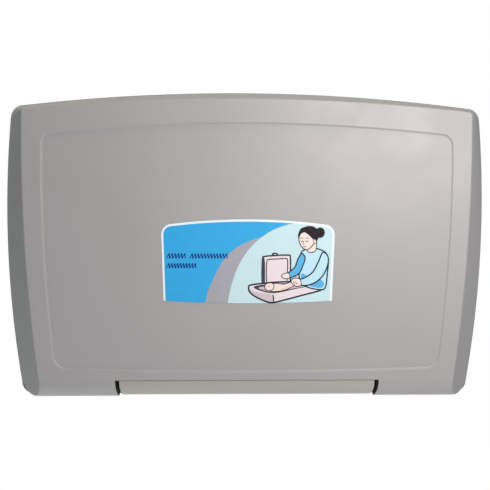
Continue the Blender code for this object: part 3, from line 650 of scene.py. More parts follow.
INK_COLOURS = dict(
    white=(236, 246, 250), blue=(52, 171, 230), silver=(166, 168, 177), aqua=(199, 230, 235),
    navy=(18, 62, 142), line=(22, 40, 58), hair=(26, 20, 26), skin=(244, 226, 218),
    skin_shade=(232, 200, 184), cloth=(190, 230, 244), cloth_shade=(92, 180, 228),
    tray=(232, 222, 226), tray_shade=(206, 192, 200), dark=(58, 64, 74))
INKS = {name: printed(f"ink_{name}", srgb(*colour)) for name, colour in INK_COLOURS.items()}

# The two curved edges of the coloured areas, from the label's lower edge upwards.
BLUE_EDGE = [(-37.0, -101.5), (-34.0, -84.0), (-27.9, -59.9), (-20.0, -38.0), (-9.4, -18.0),
             (6.0, 2.5), (25.6, 20.3), (50.0, 35.0), (83.6, 46.3)]
SWOOSH_EDGE = [(-78.5, -101.5), (-72.0, -77.0), (-62.7, -55.4), (-51.0, -32.0), (-37.2, -13.4),
               (-18.0, 2.5), (4.0, 13.0), (25.6, 20.3)]
# Where the rows of zigzags run: x from and to, z from and to.
ZIGZAGS = ((-147.3, -113.2, -19.6, -10.2), (-105.4, -37.2, -19.6, -10.2),
           (-147.3, -93.9, -37.2, -28.0))
ZIGZAG_PITCH = 5.6
ZIGZAG_LEAN = 1.2


def label_low(x):
    return LABEL_BOTTOM_Z + x * x * LABEL_BOTTOM_BOW


def label_edge(inset):
    """The label's outline, anticlockwise: straight sides, bowed top and bottom."""
    low_x = LABEL_HALF_BOTTOM - inset
    half = LABEL_HALF_TOP - inset
    corner = max(LABEL_CORNER - inset, 1.0)
    xs = [low_x * (2 * i / LABEL_LOW_STEPS - 1) for i in range(LABEL_LOW_STEPS + 1)]
    bottom = [(x, label_low(x)) for x in xs]
    corner_x = half - corner
    corner_top = LABEL_TOP_Z - inset - LABEL_TOP_BOW * corner_x**2
    start = (half, corner_top - corner)
    rounded = quarter(start, (corner_x, corner_top), (corner_x, start[1]), LABEL_ROUND_STEPS)
    xs = [corner_x * (1 - i / LABEL_TOP_STEPS) for i in range(LABEL_TOP_STEPS)]
    top = [(x, LABEL_TOP_Z - inset - LABEL_TOP_BOW * x * x) for x in xs]
    right = [start] + rounded + top
    return bottom + right + [(0.0, LABEL_TOP_Z - inset)] + mirrored(right)


def curve_through(points, steps=4, closed=False):
    """A smooth Catmull-Rom line through the points."""
    count = len(points)
    line = []
    for i in range(count if closed else count - 1):
        near = [i + k if closed else min(max(i + k, 0), count - 1) for k in (-1, 0, 1, 2)]
        p0, p1, p2, p3 = (points[k % count] for k in near)
        for k in range(steps):
            t = k / steps
            line.append(tuple(
                0.5 * (2 * b + (c - a) * t + (2 * a - 5 * b + 4 * c - d) * t * t
                       + (3 * b - a - 3 * c + d) * t**3)
                for a, b, c, d in zip(p0, p1, p2, p3)))
    if not closed:
        line.append(tuple(points[-1]))
    return line


def oval(x, z, half_w, half_h, tilt):
    """An ellipse's outline, tilted in degrees."""
    c, s = cos(radians(tilt)), sin(radians(tilt))
    points = []
    for i in range(OVAL_STEPS):
        a = 2 * pi * i / OVAL_STEPS
        u, v = half_w * cos(a), half_h * sin(a)
        points.append((x + u * c - v * s, z + u * s + v * c))
    return points


def signed_area(points):
    pairs = zip(points, points[1:] + points[:1])
    return sum(x0 * z1 - x1 * z0 for (x0, z0), (x1, z1) in pairs) / 2


def grown(points, amount):
    """The outline moved out by amount along its own normals."""
    if signed_area(points) < 0:
        points = points[::-1]
    moved = []
    count = len(points)
    for i, (x, z) in enumerate(points):
        x0, z0 = points[i - 1]
        x1, z1 = points[(i + 1) % count]
        dx, dz = x1 - x0, z1 - z0
        length = hypot(dx, dz) or 1.0
        moved.append((x + dz / length * amount, z - dx / length * amount))
    return moved


class Print:
    """Flat printed shapes, each a thin step in front of the last, made into one piece."""

    def __init__(self):
        self.bm = bmesh.new()
        self.inks = []
        self.level = 0

    def ink(self, name):
        if name not in self.inks:
            self.inks.append(name)
        return self.inks.index(name)

    def fill(self, points, name, lift=True):
        """A flat shape with a thin edge; without lift it shares the last shape's level."""
        self.level += 1 if lift else 0
        y = LABEL_FRONT - LAYER * self.level
        front = [self.bm.verts.new(point) for point in ring_at(points, y)]
        back = [self.bm.verts.new(point) for point in ring_at(points, y + 0.9 * LAYER)]
        faces = [self.bm.faces.new(front)]
        for i in range(len(front)):
            j = (i + 1) % len(front)
            faces.append(self.bm.faces.new((front[i], front[j], back[j], back[i])))
        for face in faces:
            face.material_index = self.ink(name)

    def outlined(self, points, name, width):
        """A filled shape with a dark line round it."""
        self.fill(grown(points, PEN * width / 2), "line")
        self.fill(grown(points, -PEN * width / 2), name)

    def patch(self, name, points, closed=True):
        """A filled shape with a smooth edge through the points."""
        self.fill(curve_through(points, closed=closed), name)

    def shape(self, name, width, points, closed=True):
        """A smooth shape through the points, with a dark line round it."""
        self.outlined(curve_through(points, closed=closed), name, width)

    def stroke(self, name, width, points, steps=4):
        """A smooth pen line through the points that thins towards its ends."""
        line = curve_through(points, steps)
        left, right = [], []
        for i, (x, z) in enumerate(line):
            before = line[max(i - 1, 0)]
            after = line[min(i + 1, len(line) - 1)]
            dx, dz = after[0] - before[0], after[1] - before[1]
            length = hypot(dx, dz) or 1.0
            share = sin(pi * i / (len(line) - 1))
            half = 0.5 * PEN * width * (TAPER + (1 - TAPER) * min(1.0, 2.2 * share))
            left.append((x - dz / length * half, z + dx / length * half))
            right.append((x + dz / length * half, z - dx / length * half))
        self.fill(left + right[::-1], name)


def left_of(curve, edge):
    """The part of the label's edge outline that lies left of a line from bottom to top."""
    first, last = curve[0][0], curve[-1][0]
    bottom = [p for p in edge if p[1] < -90 and p[0] < first - 0.5]
    rest = [p for p in edge if p[1] >= -90 and p[0] < last - 0.5]
    return rest + bottom + [(first, label_low(first))] + curve[1:]


def draw_background(art):
    """A pale ground, a blue area on the left, and a silver band along its edge."""
    edge = label_edge(LABEL_BORDER)
    art.fill(edge, "aqua")
    blue = curve_through(BLUE_EDGE, 5)
    art.fill(left_of(blue, edge), "blue")
    swoosh = curve_through(SWOOSH_EDGE, 5)
    start, end = BLUE_EDGE[0][0], SWOOSH_EDGE[0][0]
    inner = [p for p in blue[1:] if p[0] < 25.0]
    band = [(start, label_low(start))] + inner + swoosh[::-1][:-1] + [(end, label_low(end))]
    art.fill(band, "silver")


def draw_scribbles(art):
    """Slanted zigzags where words would be; they spell nothing."""
    art.level += 1
    for x0, x1, low, high in ZIGZAGS:
        count = 2 * round((x1 - x0) / ZIGZAG_PITCH)
        points = []
        for i in range(count + 1):
            x = x0 + (x1 - x0) * i / count
            points.append((x + ZIGZAG_LEAN, high) if i % 2 else (x - ZIGZAG_LEAN, low))
        for (xa, za), (xb, zb) in zip(points, points[1:]):
            bar = [(xa - 1.0, za), (xa + 1.0, za), (xb + 1.0, zb), (xb - 1.0, zb)]
            art.fill(bar, "navy", lift=False)


def draw_tray(art):
    """The open changing tray with its upright back, in outline style."""
    art.patch("line", [(43, -16), (44, -10), (48, -8.5), (54, -10), (55, -15)], closed=False)
    art.patch("tray", [(46, -15), (46.5, -12), (49, -11), (52, -12), (52.5, -15)], closed=False)
    art.shape("tray", 2.0, [
        (26, -66), (25.5, -40), (26.5, -19), (30, -15.5), (52, -13.5), (73, -13), (77, -16),
        (77.5, -38), (77, -64)], closed=False)
    art.patch("dark", [
        (25.4, -66), (25.0, -40), (26.2, -19), (30, -20), (31, -40), (31, -66)], closed=False)
    art.shape("tray", 1.4, [
        (34, -66), (33.5, -40), (34.5, -24), (38, -21), (54, -20), (69, -19.5), (72, -23),
        (72, -42), (71, -62)], closed=False)
    art.shape("tray", 2.2, [
        (1.5, -72), (4, -68), (24, -65), (60, -62), (100, -62), (131, -65), (133.5, -70),
        (133, -77), (100, -86), (70, -94), (47, -99.5), (34, -98), (14, -89), (3, -80)])
    art.patch("tray_shade", [
        (3.5, -75), (14, -80), (45, -86), (46.5, -97.5), (35, -96.5), (16, -88), (6, -81)])
    art.patch("dark", [
        (10, -71.5), (24, -67.5), (60, -64.5), (100, -64), (124, -67), (90, -74), (48, -82.5),
        (22, -78)])
    art.patch("tray_shade", [
        (20, -72), (60, -67.5), (100, -67), (112, -68.5), (84, -73.5), (47, -80), (30, -77.5)])
    art.stroke("line", 1.6, [(45.5, -85), (46.5, -92), (47, -98.5)], 5)


def draw_baby(art):
    """A simple swaddled baby lying in the tray."""
    art.shape("skin", 1.1, [
        (34, -72), (40, -66), (52, -64.5), (66, -66), (78, -62), (86, -60), (88, -66), (80, -71),
        (66, -77), (48, -79.5), (38, -77.5)])
    art.stroke("skin_shade", 1.6, [(58, -78), (68, -73), (78, -69)], 5)
    art.outlined(oval(39, -70.5, 8.6, 7.6, 12), "skin", 1.1)
    art.stroke("hair", 1.4, [(33, -66), (37, -63.5), (42, -64)], 5)
    art.stroke("line", 0.6, [(36.5, -70), (38, -70.8), (39.5, -70.3)])


def draw_adult(art):
    """A generic adult leaning over the tray, with bound hair and plain long sleeves."""
    art.shape("cloth", 1.8, [
        (103, -3), (97, -8), (94, -22), (93, -44), (96, -62), (110, -72), (134, -76), (142, -70),
        (145, -44), (146.5, -22), (141, -8), (126, -1), (114, 2)])
    art.patch("cloth_shade", [
        (97, -46), (108, -50), (122, -52), (134, -58), (139, -66), (133, -73), (112, -69), (99, -60)
       ])
    art.shape("skin", 1.2, [
        (106, 10), (105, 0), (110, -7), (117, -8), (124, -3), (125, 12)], closed=False)
    art.fill(oval(110, 23.5, 19.5, 16.5, 18), "hair")
    art.fill(oval(131, 28, 8.8, 9.5, -10), "hair")
    art.shape("skin", 1.2, [
        (93.5, 22), (92.6, 14), (95, 6.5), (100.5, -0.5), (107.5, -3), (114, 1), (120, 8),
        (122, 17), (118, 25), (108, 29.5), (98, 28)])
    art.patch("hair", [
        (91.5, 25), (99, 29.5), (108, 25.5), (117, 17), (124, 12), (128, 20), (122, 32), (108, 38),
        (96, 35.5)])
    art.outlined(oval(121.5, 12.5, 2.6, 3.8, 12), "skin", 0.8)
    for x in (97.4, 107.2):
        art.stroke("line", 1.0, [(x - 2.3, 13.4), (x, 12.2), (x + 2.5, 13.0)])
        art.stroke("hair", 0.9, [(x - 2.8, 17.4), (x, 18.3), (x + 3.0, 17.2)])
    art.stroke("line", 0.7, [(101.2, 13), (100.0, 7.6), (102.2, 7.0)])
    art.stroke("line", 0.9, [(100.4, 2.9), (103.2, 2.2), (106.0, 3.1)])


def draw_arms(art):
    """Both arms reach forward to the baby."""
    art.shape("cloth_shade", 1.6, [
        (98, -10), (91, -20), (86, -34), (78, -42), (72, -47), (75, -54), (84, -52), (94, -45),
        (100, -32), (104, -18)])
    art.shape("skin", 1.0, [(74, -46), (66, -47), (61, -50), (63, -54), (70, -56), (76, -54)])
    art.shape("cloth", 1.8, [
        (136, -8), (128, -26), (118, -44), (104, -54), (94, -58), (96, -67), (108, -68), (124, -62),
        (138, -48), (146, -28), (145, -14)])
    art.shape("skin", 1.1, [
        (95, -57), (86, -55), (80, -58), (79, -63), (84, -68), (91, -70), (97, -67)])
    for x in (82.5, 86.5):
        art.stroke("line", 0.8, [(x, -60), (x + 1.5, -64), (x + 3.5, -66)])


def make_label():
    """The plate, with everything printed on it."""
    art = Print()
    for draw in (draw_background, draw_scribbles, draw_tray, draw_adult, draw_baby, draw_arms):
        draw(art)
    edge = label_edge(0.0)
    loops = loft(art.bm, [ring_at(edge, LABEL_REAR), ring_at(edge, LABEL_FRONT + LABEL_CHAMFER),
                          ring_at(label_edge(LABEL_CHAMFER), LABEL_FRONT)])
    white = art.ink("white")
    art.bm.faces.new(loops[-1])
    art.bm.faces.new(loops[0])
    for loop in loops:
        for vert in loop:
            for face in vert.link_faces:
                face.material_index = white
    first = INKS[art.inks[0]]
    label = piece("label_look", art.bm, "bed", "label_print", 30.0, first, flats=False)
    for name in art.inks[1:]:
        label.data.materials.append(INKS[name])
    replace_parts(label, "label_plate")


# ---------------- liner, barrel and wall unit

POCKET_STEPS = 18
NOTCH_SPARE = 0.5
BARREL_ROUND = 1.2
BARREL_TAIL = (-30.0, -45.0, -60.0)
PANEL_Y = (-22.0, -19.1)
PANEL_EDGE = SHELL_T - BACK_OVERLAP + 0.5
# The raised bead round the inner panel, as inset and rise.
PANEL_BEAD = ((12.0, 0.0), (13.5, 0.4), (15.0, 1.6), (16.5, 2.0), (24.5, 2.0), (26.0, 1.6),
              (27.5, 0.4), (29.0, 0.0))
CASE_HALF = 150.0
CASE_Z = (-80.0, 90.0)
CASE_GAP = 0.6
ARM_SLOT_X = (203.0, 211.0)
WALL_HOLES = [(side * 203.0, z) for side in (-1, 1) for z in (-120.0, 150.0)]
HOLE_R = 4.5
# The pockets between the ribs of the rear face.
RIB_PITCH = 85.0
RIB_W = 7.0
RIB_DEPTH = 2.0
RIB_SHIFT = 7.0
RIB_TO_EDGE = 9.0
RIB_TO_HOLE = 12.0
REAR_SPARE = 5.0


def pocket_ring(t, under=0.0):
    """The child's pocket, t from its mouth (0) to its floor (1), or that far under its skin."""
    y = RIM_Y - POCKET_DEPTH * (3 * t * t - 2 * t**3) - under
    return ring_at(outline(mixed(MOUTH, FLOOR, t), -0.7 * under), y)


def make_bed_liner():
    """The liner with the child's pocket, notched for the barrel between the lobes."""
    levels = [i / POCKET_STEPS for i in range(POCKET_STEPS + 1)]
    rings = [pocket_ring(t, LINER_T) for t in reversed(levels)]
    rings += bowed_rings(dict(RIM, low_z=LIP_Z - SHELL_T), [
        (SHELL_T + 2.6, RIM_Y - LINER_T), (SHELL_T + 0.6, RIM_Y - 0.9),
        (SHELL_T + 0.8, RIM_Y - 0.3), (SHELL_T + 1.5, RIM_Y)])
    rings += [pocket_ring(t) for t in levels]
    liner = piece("liner_look", solid(rings), "bed", "liner_grey", 32.0)
    half = LOBE_INNER_X + SHELL_T + NOTCH_SPARE
    top = AXIS_Z + COVE_R + SHELL_T + NOTCH_SPARE
    carve(liner, prisms((rounded_box(-half, half, -300.0, top, 4.0), -60.0, -40.0)))
    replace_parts(liner, "bed_liner")


def make_barrel():
    """The fixed cover between the lobes, half round in front with a flat tail behind."""
    ends = []
    for share in (0.0, 0.25, 0.55, 1.0):
        drop = BARREL_ROUND * (1 - sqrt(share * (2 - share)))
        ends.append((-BARREL_HALF + BARREL_ROUND * share, BARREL_R - drop))
    middle = [(x, BARREL_R) for x in (-120.0, 0.0, 120.0)]
    sections = []
    for x, radius in ends + middle + mirrored(ends):
        lean = copysign(1.0 if abs(x) > 200 else 0.0, x)
        below = [(y, AXIS_Z - radius) for y in BARREL_TAIL]
        above = [(y, AXIS_Z + radius) for y in reversed(BARREL_TAIL)]
        section = below + hinge_arc(radius, range(270, 89, -3)) + above
        sections.append([(x - lean * end_slant(z), y, z) for y, z in section])
    bm = bmesh.new()
    loops = loft(bm, sections, closed=False)
    for side, loop in ((-1, loops[0]), (1, loops[-1])):
        add_bored_end(bm, [tuple(vert.co) for vert in loop], -3 * side)
    bmesh.ops.remove_doubles(bm, verts=bm.verts, dist=0.005)
    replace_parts(piece("barrel_look", bm, "wall_unit", "barrel_grey", 50.0), "barrel_cover")


def inside_outline(x, z, inset):
    low, high = RIM["low_z"] + inset, RIM["top_z"] - inset - RIM["top_bow"] * x * x
    side = RIM["half"] - inset - RIM["side_bow"] * (z - RIM["widest_z"]) ** 2
    return low < z < high and abs(x) < side


def rear_pockets():
    """Shallow pockets between the ribs of the rear face, clear of the edge and the screw holes."""
    half = (RIB_PITCH - RIB_W) / 2
    reach = half + RIB_TO_HOLE
    pockets = []
    for column in range(-5, 6):
        for row in range(-4, 4):
            x = column * RIB_PITCH
            z = (row + 0.5) * RIB_PITCH + RIB_SHIFT
            corners = [(x + u * half, z + v * half) for u in (-1, 1) for v in (-1, 1)]
            fits = all(inside_outline(u, v, RIB_TO_EDGE) for u, v in corners)
            holed = any(abs(x - u) < reach and abs(z - v) < reach for u, v in WALL_HOLES)
            if fits and not holed:
                pockets.append(rounded_box(x - half, x + half, z - half, z + half, 7.0))
    return pockets


def make_wall_shell():
    """The tray against the wall, with ribs and screw holes in its rear face."""
    inside = SHELL_T - BACK_OVERLAP
    rings = bowed_rings(RIM, [
        (inside, WALL_Y - SHELL_T), (inside, BACK_FRONT_Y + 1.0),
        (inside - 0.3, BACK_FRONT_Y + 0.3), (inside - 1.0, BACK_FRONT_Y),
        (1.0 - BACK_OVERLAP, BACK_FRONT_Y), (0.3 - BACK_OVERLAP, BACK_FRONT_Y + 0.3),
        (-BACK_OVERLAP, BACK_FRONT_Y + 1.0), (-BACK_OVERLAP, -22.0),
        (-BACK_OVERLAP, WALL_Y - 2.0), (0.6 - BACK_OVERLAP, WALL_Y - 0.6),
        (2.0 - BACK_OVERLAP, WALL_Y)])
    shell = piece("wall_shell_look", solid(rings), "wall_unit", "back_grey", 40.0)
    behind = WALL_Y + REAR_SPARE
    pockets = [(points, WALL_Y - RIB_DEPTH, behind) for points in rear_pockets()]
    holes = [(disc(x, z, HOLE_R), -8.0, behind) for x, z in WALL_HOLES]
    carve(shell, prisms(*pockets, *holes))
    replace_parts(shell, "back_shell")


def make_inner_panel():
    """The moulded panel inside the wall unit, with a raised bead round it."""
    front, rear = PANEL_Y
    profile = [(PANEL_EDGE, rear), (PANEL_EDGE, front + 0.6), (PANEL_EDGE + 0.6, front)]
    profile += [(inset, front - rise) for inset, rise in PANEL_BEAD]
    bm = solid(bowed_rings(RIM, profile))
    panel = piece("inner_panel_look", bm, "wall_unit", "liner_grey", 32.0)
    half = CASE_HALF + CASE_GAP
    low, high = CASE_Z[0] - CASE_GAP, CASE_Z[1] + CASE_GAP
    openings = [rounded_box(-half, half, low, high, 1.0)]
    for side in (-1, 1):
        x0, x1 = sorted(side * x for x in ARM_SLOT_X)
        openings.append(rounded_box(x0, x1, AXIS_Z - 20, AXIS_Z + 80, 2.0))
    carve(panel, prisms(*((points, -40.0, -10.0) for points in openings)))
    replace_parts(panel, "inner_panel")


# ---------------- strap and buckle

STRAP_HALF = 19.0
STRAP_T = 1.6
STRAP_LIFT = 0.5
STRAP_BEAD = 1.4
STRAP_STEPS = 90
SEWN_STEPS = 14
STITCH_HALF_W = 0.35
STITCH_HALF_L = 1.1
ANCHOR_Z = (-199.0, 255.0)
SOCKET_Z = (-10.0, 35.0)
PLUG_Z = (36.0, 58.0)
BUCKLE_Y = (-83.0, -72.0)
# Past the faces that a cutter goes through.
CUT_SPARE = 2.0
THREAD = woven("strap_thread", srgb(150, 152, 156))


def pocket_surface(z):
    """Depth of the liner's surface under the strap at a height."""
    if z > FLOOR["top_z"]:
        t = (MOUTH["top_z"] - z) / (MOUTH["top_z"] - FLOOR["top_z"])
    else:
        t = (z - MOUTH["low_z"]) / (FLOOR["low_z"] - MOUTH["low_z"])
    t = min(max(t, 0.0), 1.0)
    return RIM_Y - POCKET_DEPTH * (3 * t * t - 2 * t**3)


def strap_frames(z_from, z_to):
    """Points on the liner along the strap with the normals that leave it, as (y, z, ny, nz)."""
    zs = [z_from + (z_to - z_from) * i / STRAP_STEPS for i in range(STRAP_STEPS + 1)]
    path = [(pocket_surface(z), z) for z in zs]
    frames = []
    for i, (y, z) in enumerate(path):
        y0, z0 = path[max(i - 1, 0)]
        y1, z1 = path[min(i + 1, STRAP_STEPS)]
        length = hypot(y1 - y0, z1 - z0)
        out = 1 if z1 > z0 else -1
        frames.append((y, z, out * (z1 - z0) / length, -out * (y1 - y0) / length))
    return frames


def add_ribbon(bm, frames, half, thick, lift):
    """A webbing band with rolled edges, laid over frames."""
    edge = [(half, 0.25), (half, 0.75), (half - 0.5 * STRAP_BEAD, 1.08),
            (half - 1.6 * STRAP_BEAD, 0.92), (0.5 * half, 1.0)]
    section = [(-half, 0.25), (STRAP_BEAD - half, 0.0), (half - STRAP_BEAD, 0.0), *edge,
               (0.0, 1.0), *mirrored(edge[1:])]
    rings = []
    for y, z, ny, nz in frames:
        rings.append([(x, y + ny * (lift + h * thick), z + nz * (lift + h * thick))
                      for x, h in section])
    loft(bm, rings, capped=True)


def add_stitches(bm, frames, start, count, xs, reach):
    """Rows of short threads along the webbing, where it is folded back and sewn."""
    for y, z, ny, nz in frames[start:start + count]:
        out = Vector((0, ny, nz))
        along = Vector((0.0, -nz, ny))
        for x in xs:
            centre = Vector((x, y, z)) + out * (reach + 0.15)
            foot = []
            for a, b in ((-1, -1), (1, -1), (1, 1), (-1, 1)):
                foot.append(centre + Vector((a * STITCH_HALF_W, 0, 0)) + along * (b * STITCH_HALF_L))
            loft(bm, [foot, [corner + out * 0.35 for corner in foot]], capped=True)


def make_strap(name, node, z_from, z_to, sewn_at_low):
    """One half of the strap, folded back and sewn at its anchor."""
    frames = strap_frames(z_from, z_to)
    sewn = frames[:SEWN_STEPS] if sewn_at_low else frames[-SEWN_STEPS:]
    bm = bmesh.new()
    add_ribbon(bm, frames, STRAP_HALF, STRAP_T, STRAP_LIFT)
    add_ribbon(bm, sewn, STRAP_HALF - 0.8, STRAP_T * 0.8, STRAP_LIFT + STRAP_T + 0.1)
    before = len(bm.faces)
    reach = STRAP_LIFT + STRAP_T * 1.9
    for start in (2, 11):
        add_stitches(bm, sewn, start, 1, range(-14, 15, 2), reach)
    add_stitches(bm, sewn, 3, 8, (-14, 14), reach)
    bm.faces.ensure_lookup_table()
    for face in bm.faces[before:]:
        face.material_index = 1
    strap = piece(name, bm, None, "webbing", 50.0)
    strap.data.materials.append(THREAD)
    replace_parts(strap, node)
    return strap


def make_straps():
    low, high = ANCHOR_Z[0] + 8.5, ANCHOR_Z[1] - 8.5
    lower = make_strap("strap_lower_look", "strap_lower", low, SOCKET_Z[0] - 0.3, True)
    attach(lower, "bed")
    upper = make_strap("strap_upper_look", "strap_upper", PLUG_Z[1] + 0.3, high, False)
    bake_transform(upper)


def buckle_half(right, low, high, depth, round_off):
    """A moulded buckle half with softened edges, from the right side of its (x, z) outline."""
    profile = [(0.0, low)] + right + [(0.0, high)] + mirrored(right)
    y0, y1 = depth
    some = 0.3 * round_off
    return solid([ring_at(grown(profile, -inset), y) for inset, y in (
        (round_off, y0), (some, y0 + some), (0.0, y0 + round_off),
        (0.0, y1 - round_off), (some, y1 - some), (round_off, y1))])


def make_buckle():
    """Socket with side windows and a pressed front; plug with its tongue and two prongs."""
    front, rear = BUCKLE_Y
    low, high = SOCKET_Z
    right = curve_through([(14, low), (21, low + 1.2), (24.2, low + 5), (24.6, low + 14),
                           (22.6, low + 21), (22.4, low + 29), (24.4, low + 37),
                           (23.6, high - 2.4), (20.5, high - 0.3)])
    bm = buckle_half(right, low, high - 0.3, BUCKLE_Y, 2.0)
    body = piece("buckle_socket_look", bm, "bed", "buckle_black", 38.0)
    window, through = (front + 2.6, rear - 2.6), (front - CUT_SPARE, rear + CUT_SPARE)
    carve(body, prisms(
        (rounded_box(-30.0, -19.5, low + 16, low + 33, 2.0), *window),
        (rounded_box(19.5, 30.0, low + 16, low + 33, 2.0), *window),
        (rounded_box(-13, 13, low + 13, low + 31, 4.0), front - CUT_SPARE, front + 0.8),
        (rounded_box(-19.4, 19.4, low + 4.0, low + 6.6, 1.0), *through),
        (rounded_box(-19.4, 19.4, high - 14, high + 4, 1.0), front + 2.2, rear - 2.2)))
    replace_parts(body, "buckle_socket")
    low, high = PLUG_Z
    right = curve_through([(18, low), (21.4, low + 0.6), (21.9, low + 5), (21.6, high - 5),
                           (20.5, high - 1.4), (17, high)])
    front, rear = front + 0.5, rear - 0.5
    bm = buckle_half(right, low, high, (front, rear), 1.6)
    for x0, x1, z0 in ((-5, 5, -8), (12.5, 18.5, 10), (-18.5, -12.5, 10)):
        prong = [(x0, z0), (x1, z0), (x1, low + 1), (x0, low + 1)]
        add_prism(bm, prong, front + 2.3, rear - 2.3)
    plug = piece("buckle_plug_look", bm, "strap_end", "buckle_black", 38.0)
    slot = rounded_box(-17.5, 17.5, high - 6.8, high - 4.0, 1.0)
    ridges = [rounded_box(-15, 15, z, z + 1.2, 0.5) for z in (low + 4.0, low + 7.0, low + 10.0)]
    carve(plug, prisms((slot, front - CUT_SPARE, rear + CUT_SPARE),
                       *((points, front - CUT_SPARE, front + 0.6) for points in ridges)))
    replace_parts(plug, "buckle_plug")


# ---------------- screws, hooks, anchors and liner case

SCREW_SEAT = 0.3
LINER_SCREWS = [(-404.0, 170.0), (404.0, 170.0), (-396.0, -60.0), (396.0, -60.0),
                (-150.0, 250.0), (150.0, 250.0)]
PANEL_SCREWS = [(side * 330.0, z) for side in (-1, 1) for z in (-150.0, 180.0)]
HOOK_X = 285.0
HOOK_REAR = PANEL_Y[0] - 0.3
HOOK_T = 3.0
HOOK_SCREWS = ((11.0, 93.0), (0.0, 138.0))
ANCHOR_SCREW_X = 25.5
COVER_HALF = 145.0
COVER_Y = (-49.0, -46.6)


def make_screw(node, body, x, z, seat, out, radius=4.5, height=1.6, shank=9.0):
    """A pan-head screw along Y with a cross recess; out is the way its head faces."""
    profile = [(0.42, -shank), (0.42, -0.2), (0.42, 0.0), (0.94, 0.0), (1.0, 0.12 * height),
               (1.0, 0.35 * height), (0.92, 0.66 * height), (0.72, 0.88 * height), (0.4, height)]
    rings = [ring_at(disc(x, z, share * radius, 32), seat + out * along) for share, along in profile]
    screw = piece(f"{node}_look", solid(rings), body, "zinc_steel", 38.0)
    turn = radians(17 + 23 * (x + z) / 50)
    for angle in (turn, turn + pi / 2):
        c, s = cos(angle), sin(angle)
        rings = []
        for share, along in ((1.0, height + 1), (1.0, height), (0.62, 0.25 * height)):
            reach, half = 0.56 * radius * share, 0.1 * radius
            corners = [(a * reach, b * half) for a, b in ((-1, -1), (1, -1), (1, 1), (-1, 1))]
            points = [(x + u * c - v * s, z + u * s + v * c) for u, v in corners]
            rings.append(ring_at(points, seat + out * along))
        carve(screw, solid(rings))
    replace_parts(screw, node)


def make_screws():
    for i, (x, z) in enumerate(LINER_SCREWS):
        make_screw(f"liner_screw_{i + 1}", "bed", x, z, RIM_Y + SCREW_SEAT, 1)
    for i, (x, z) in enumerate(PANEL_SCREWS):
        make_screw(f"panel_screw_{i + 1}", "wall_unit", x, z, PANEL_Y[0] - SCREW_SEAT, -1)
    seat = HOOK_REAR - HOOK_T - SCREW_SEAT
    for side, word in ((-1, "left"), (1, "right")):
        for i, (dx, z) in enumerate(HOOK_SCREWS):
            x = side * HOOK_X + dx
            make_screw(f"hook_screw_{word}_{i + 1}", "wall_unit", x, z, seat, -1, 4.0, 2.0, 1.5)


def swept_bar(bm, path, x, half_w, half_t):
    """A flat bar with rounded edges along a (y, z) path, ending in a rounded tip."""
    rings = []
    count = len(path)
    for i, (y, z) in enumerate(path):
        before, after = path[max(i - 1, 0)], path[min(i + 1, count - 1)]
        length = hypot(after[0] - before[0], after[1] - before[1])
        ny, nz = -(after[1] - before[1]) / length, (after[0] - before[0]) / length
        left = count - 1 - i
        share = sqrt(max(1 - (1 - left / 6) ** 2, 0.02)) if left < 6 else 1.0
        ring = []
        for k in range(16):
            c, s = cos(2 * pi * k / 16), sin(2 * pi * k / 16)
            u = copysign(abs(c) ** 0.45, c) * half_w * share
            v = copysign(abs(s) ** 0.7, s) * half_t * share
            ring.append((x + u, y + ny * v, z + nz * v))
        rings.append(ring)
    loft(bm, rings, capped=True)


def make_bag_hooks():
    """Pressed hooks: a plate with soft corners and a bent arm with an upturned tip."""
    rear, front = HOOK_REAR, HOOK_REAR - HOOK_T
    plate = ((0.4, rear), (0.0, rear - 0.4), (0.0, front + 0.8), (0.25, front + 0.25),
             (0.9, front))
    bends = [(1.5, 112), (4.6, 107), (8, 99), (16, 93), (28, 91), (36, 94), (39.5, 103),
             (40.5, 120.5)]
    arm = curve_through([(rear - out, z) for out, z in bends], 6)
    for side, word in ((-1, "left"), (1, "right")):
        x = side * HOOK_X
        bm = bmesh.new()
        add_slab(bm, x - 17, x + 17, 80, 150, 7.0, plate, steps=6)
        swept_bar(bm, arm, x, 5.0, 1.9)
        hook = piece(f"bag_hook_{word}_look", bm, "wall_unit", "zinc_steel", 42.0)
        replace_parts(hook, f"bag_hook_{word}")


def make_strap_anchors():
    """Clamp bars over the strap's ends, each with two screws set into it."""
    bar_rings = [(0.5, RIM_Y + 0.3), (0.0, RIM_Y + 0.9), (0.0, RIM_Y + 2.9), (0.5, RIM_Y + 3.9),
                 (1.6, RIM_Y + 4.5)]
    head_rings = ((3.9, 0.0), (3.9, 0.7), (3.5, 1.2), (2.4, 1.5), (1.2, 0.9))
    ends = (("left", -ANCHOR_SCREW_X), ("right", ANCHOR_SCREW_X))
    for z, word in zip(ANCHOR_Z, ("lower", "upper")):
        bm = bmesh.new()
        add_slab(bm, -32, 32, z - 8, z + 8, 5.0, bar_rings, steps=6)
        bar = piece(f"strap_anchor_{word}_look", bm, "bed", "buckle_black", 38.0)
        carve(bar, prisms(*((disc(x, z, 4.2), RIM_Y + 2.4, RIM_Y + 8) for _, x in ends)))
        for side, x in ends:
            rings = [ring_at(disc(x, z, radius), RIM_Y + 2.5 + rise) for radius, rise in head_rings]
            piece(f"anchor_screw_{word}_{side}", solid(rings), "bed", "zinc_steel", 42.0)
        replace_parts(bar, f"strap_anchor_{word}")


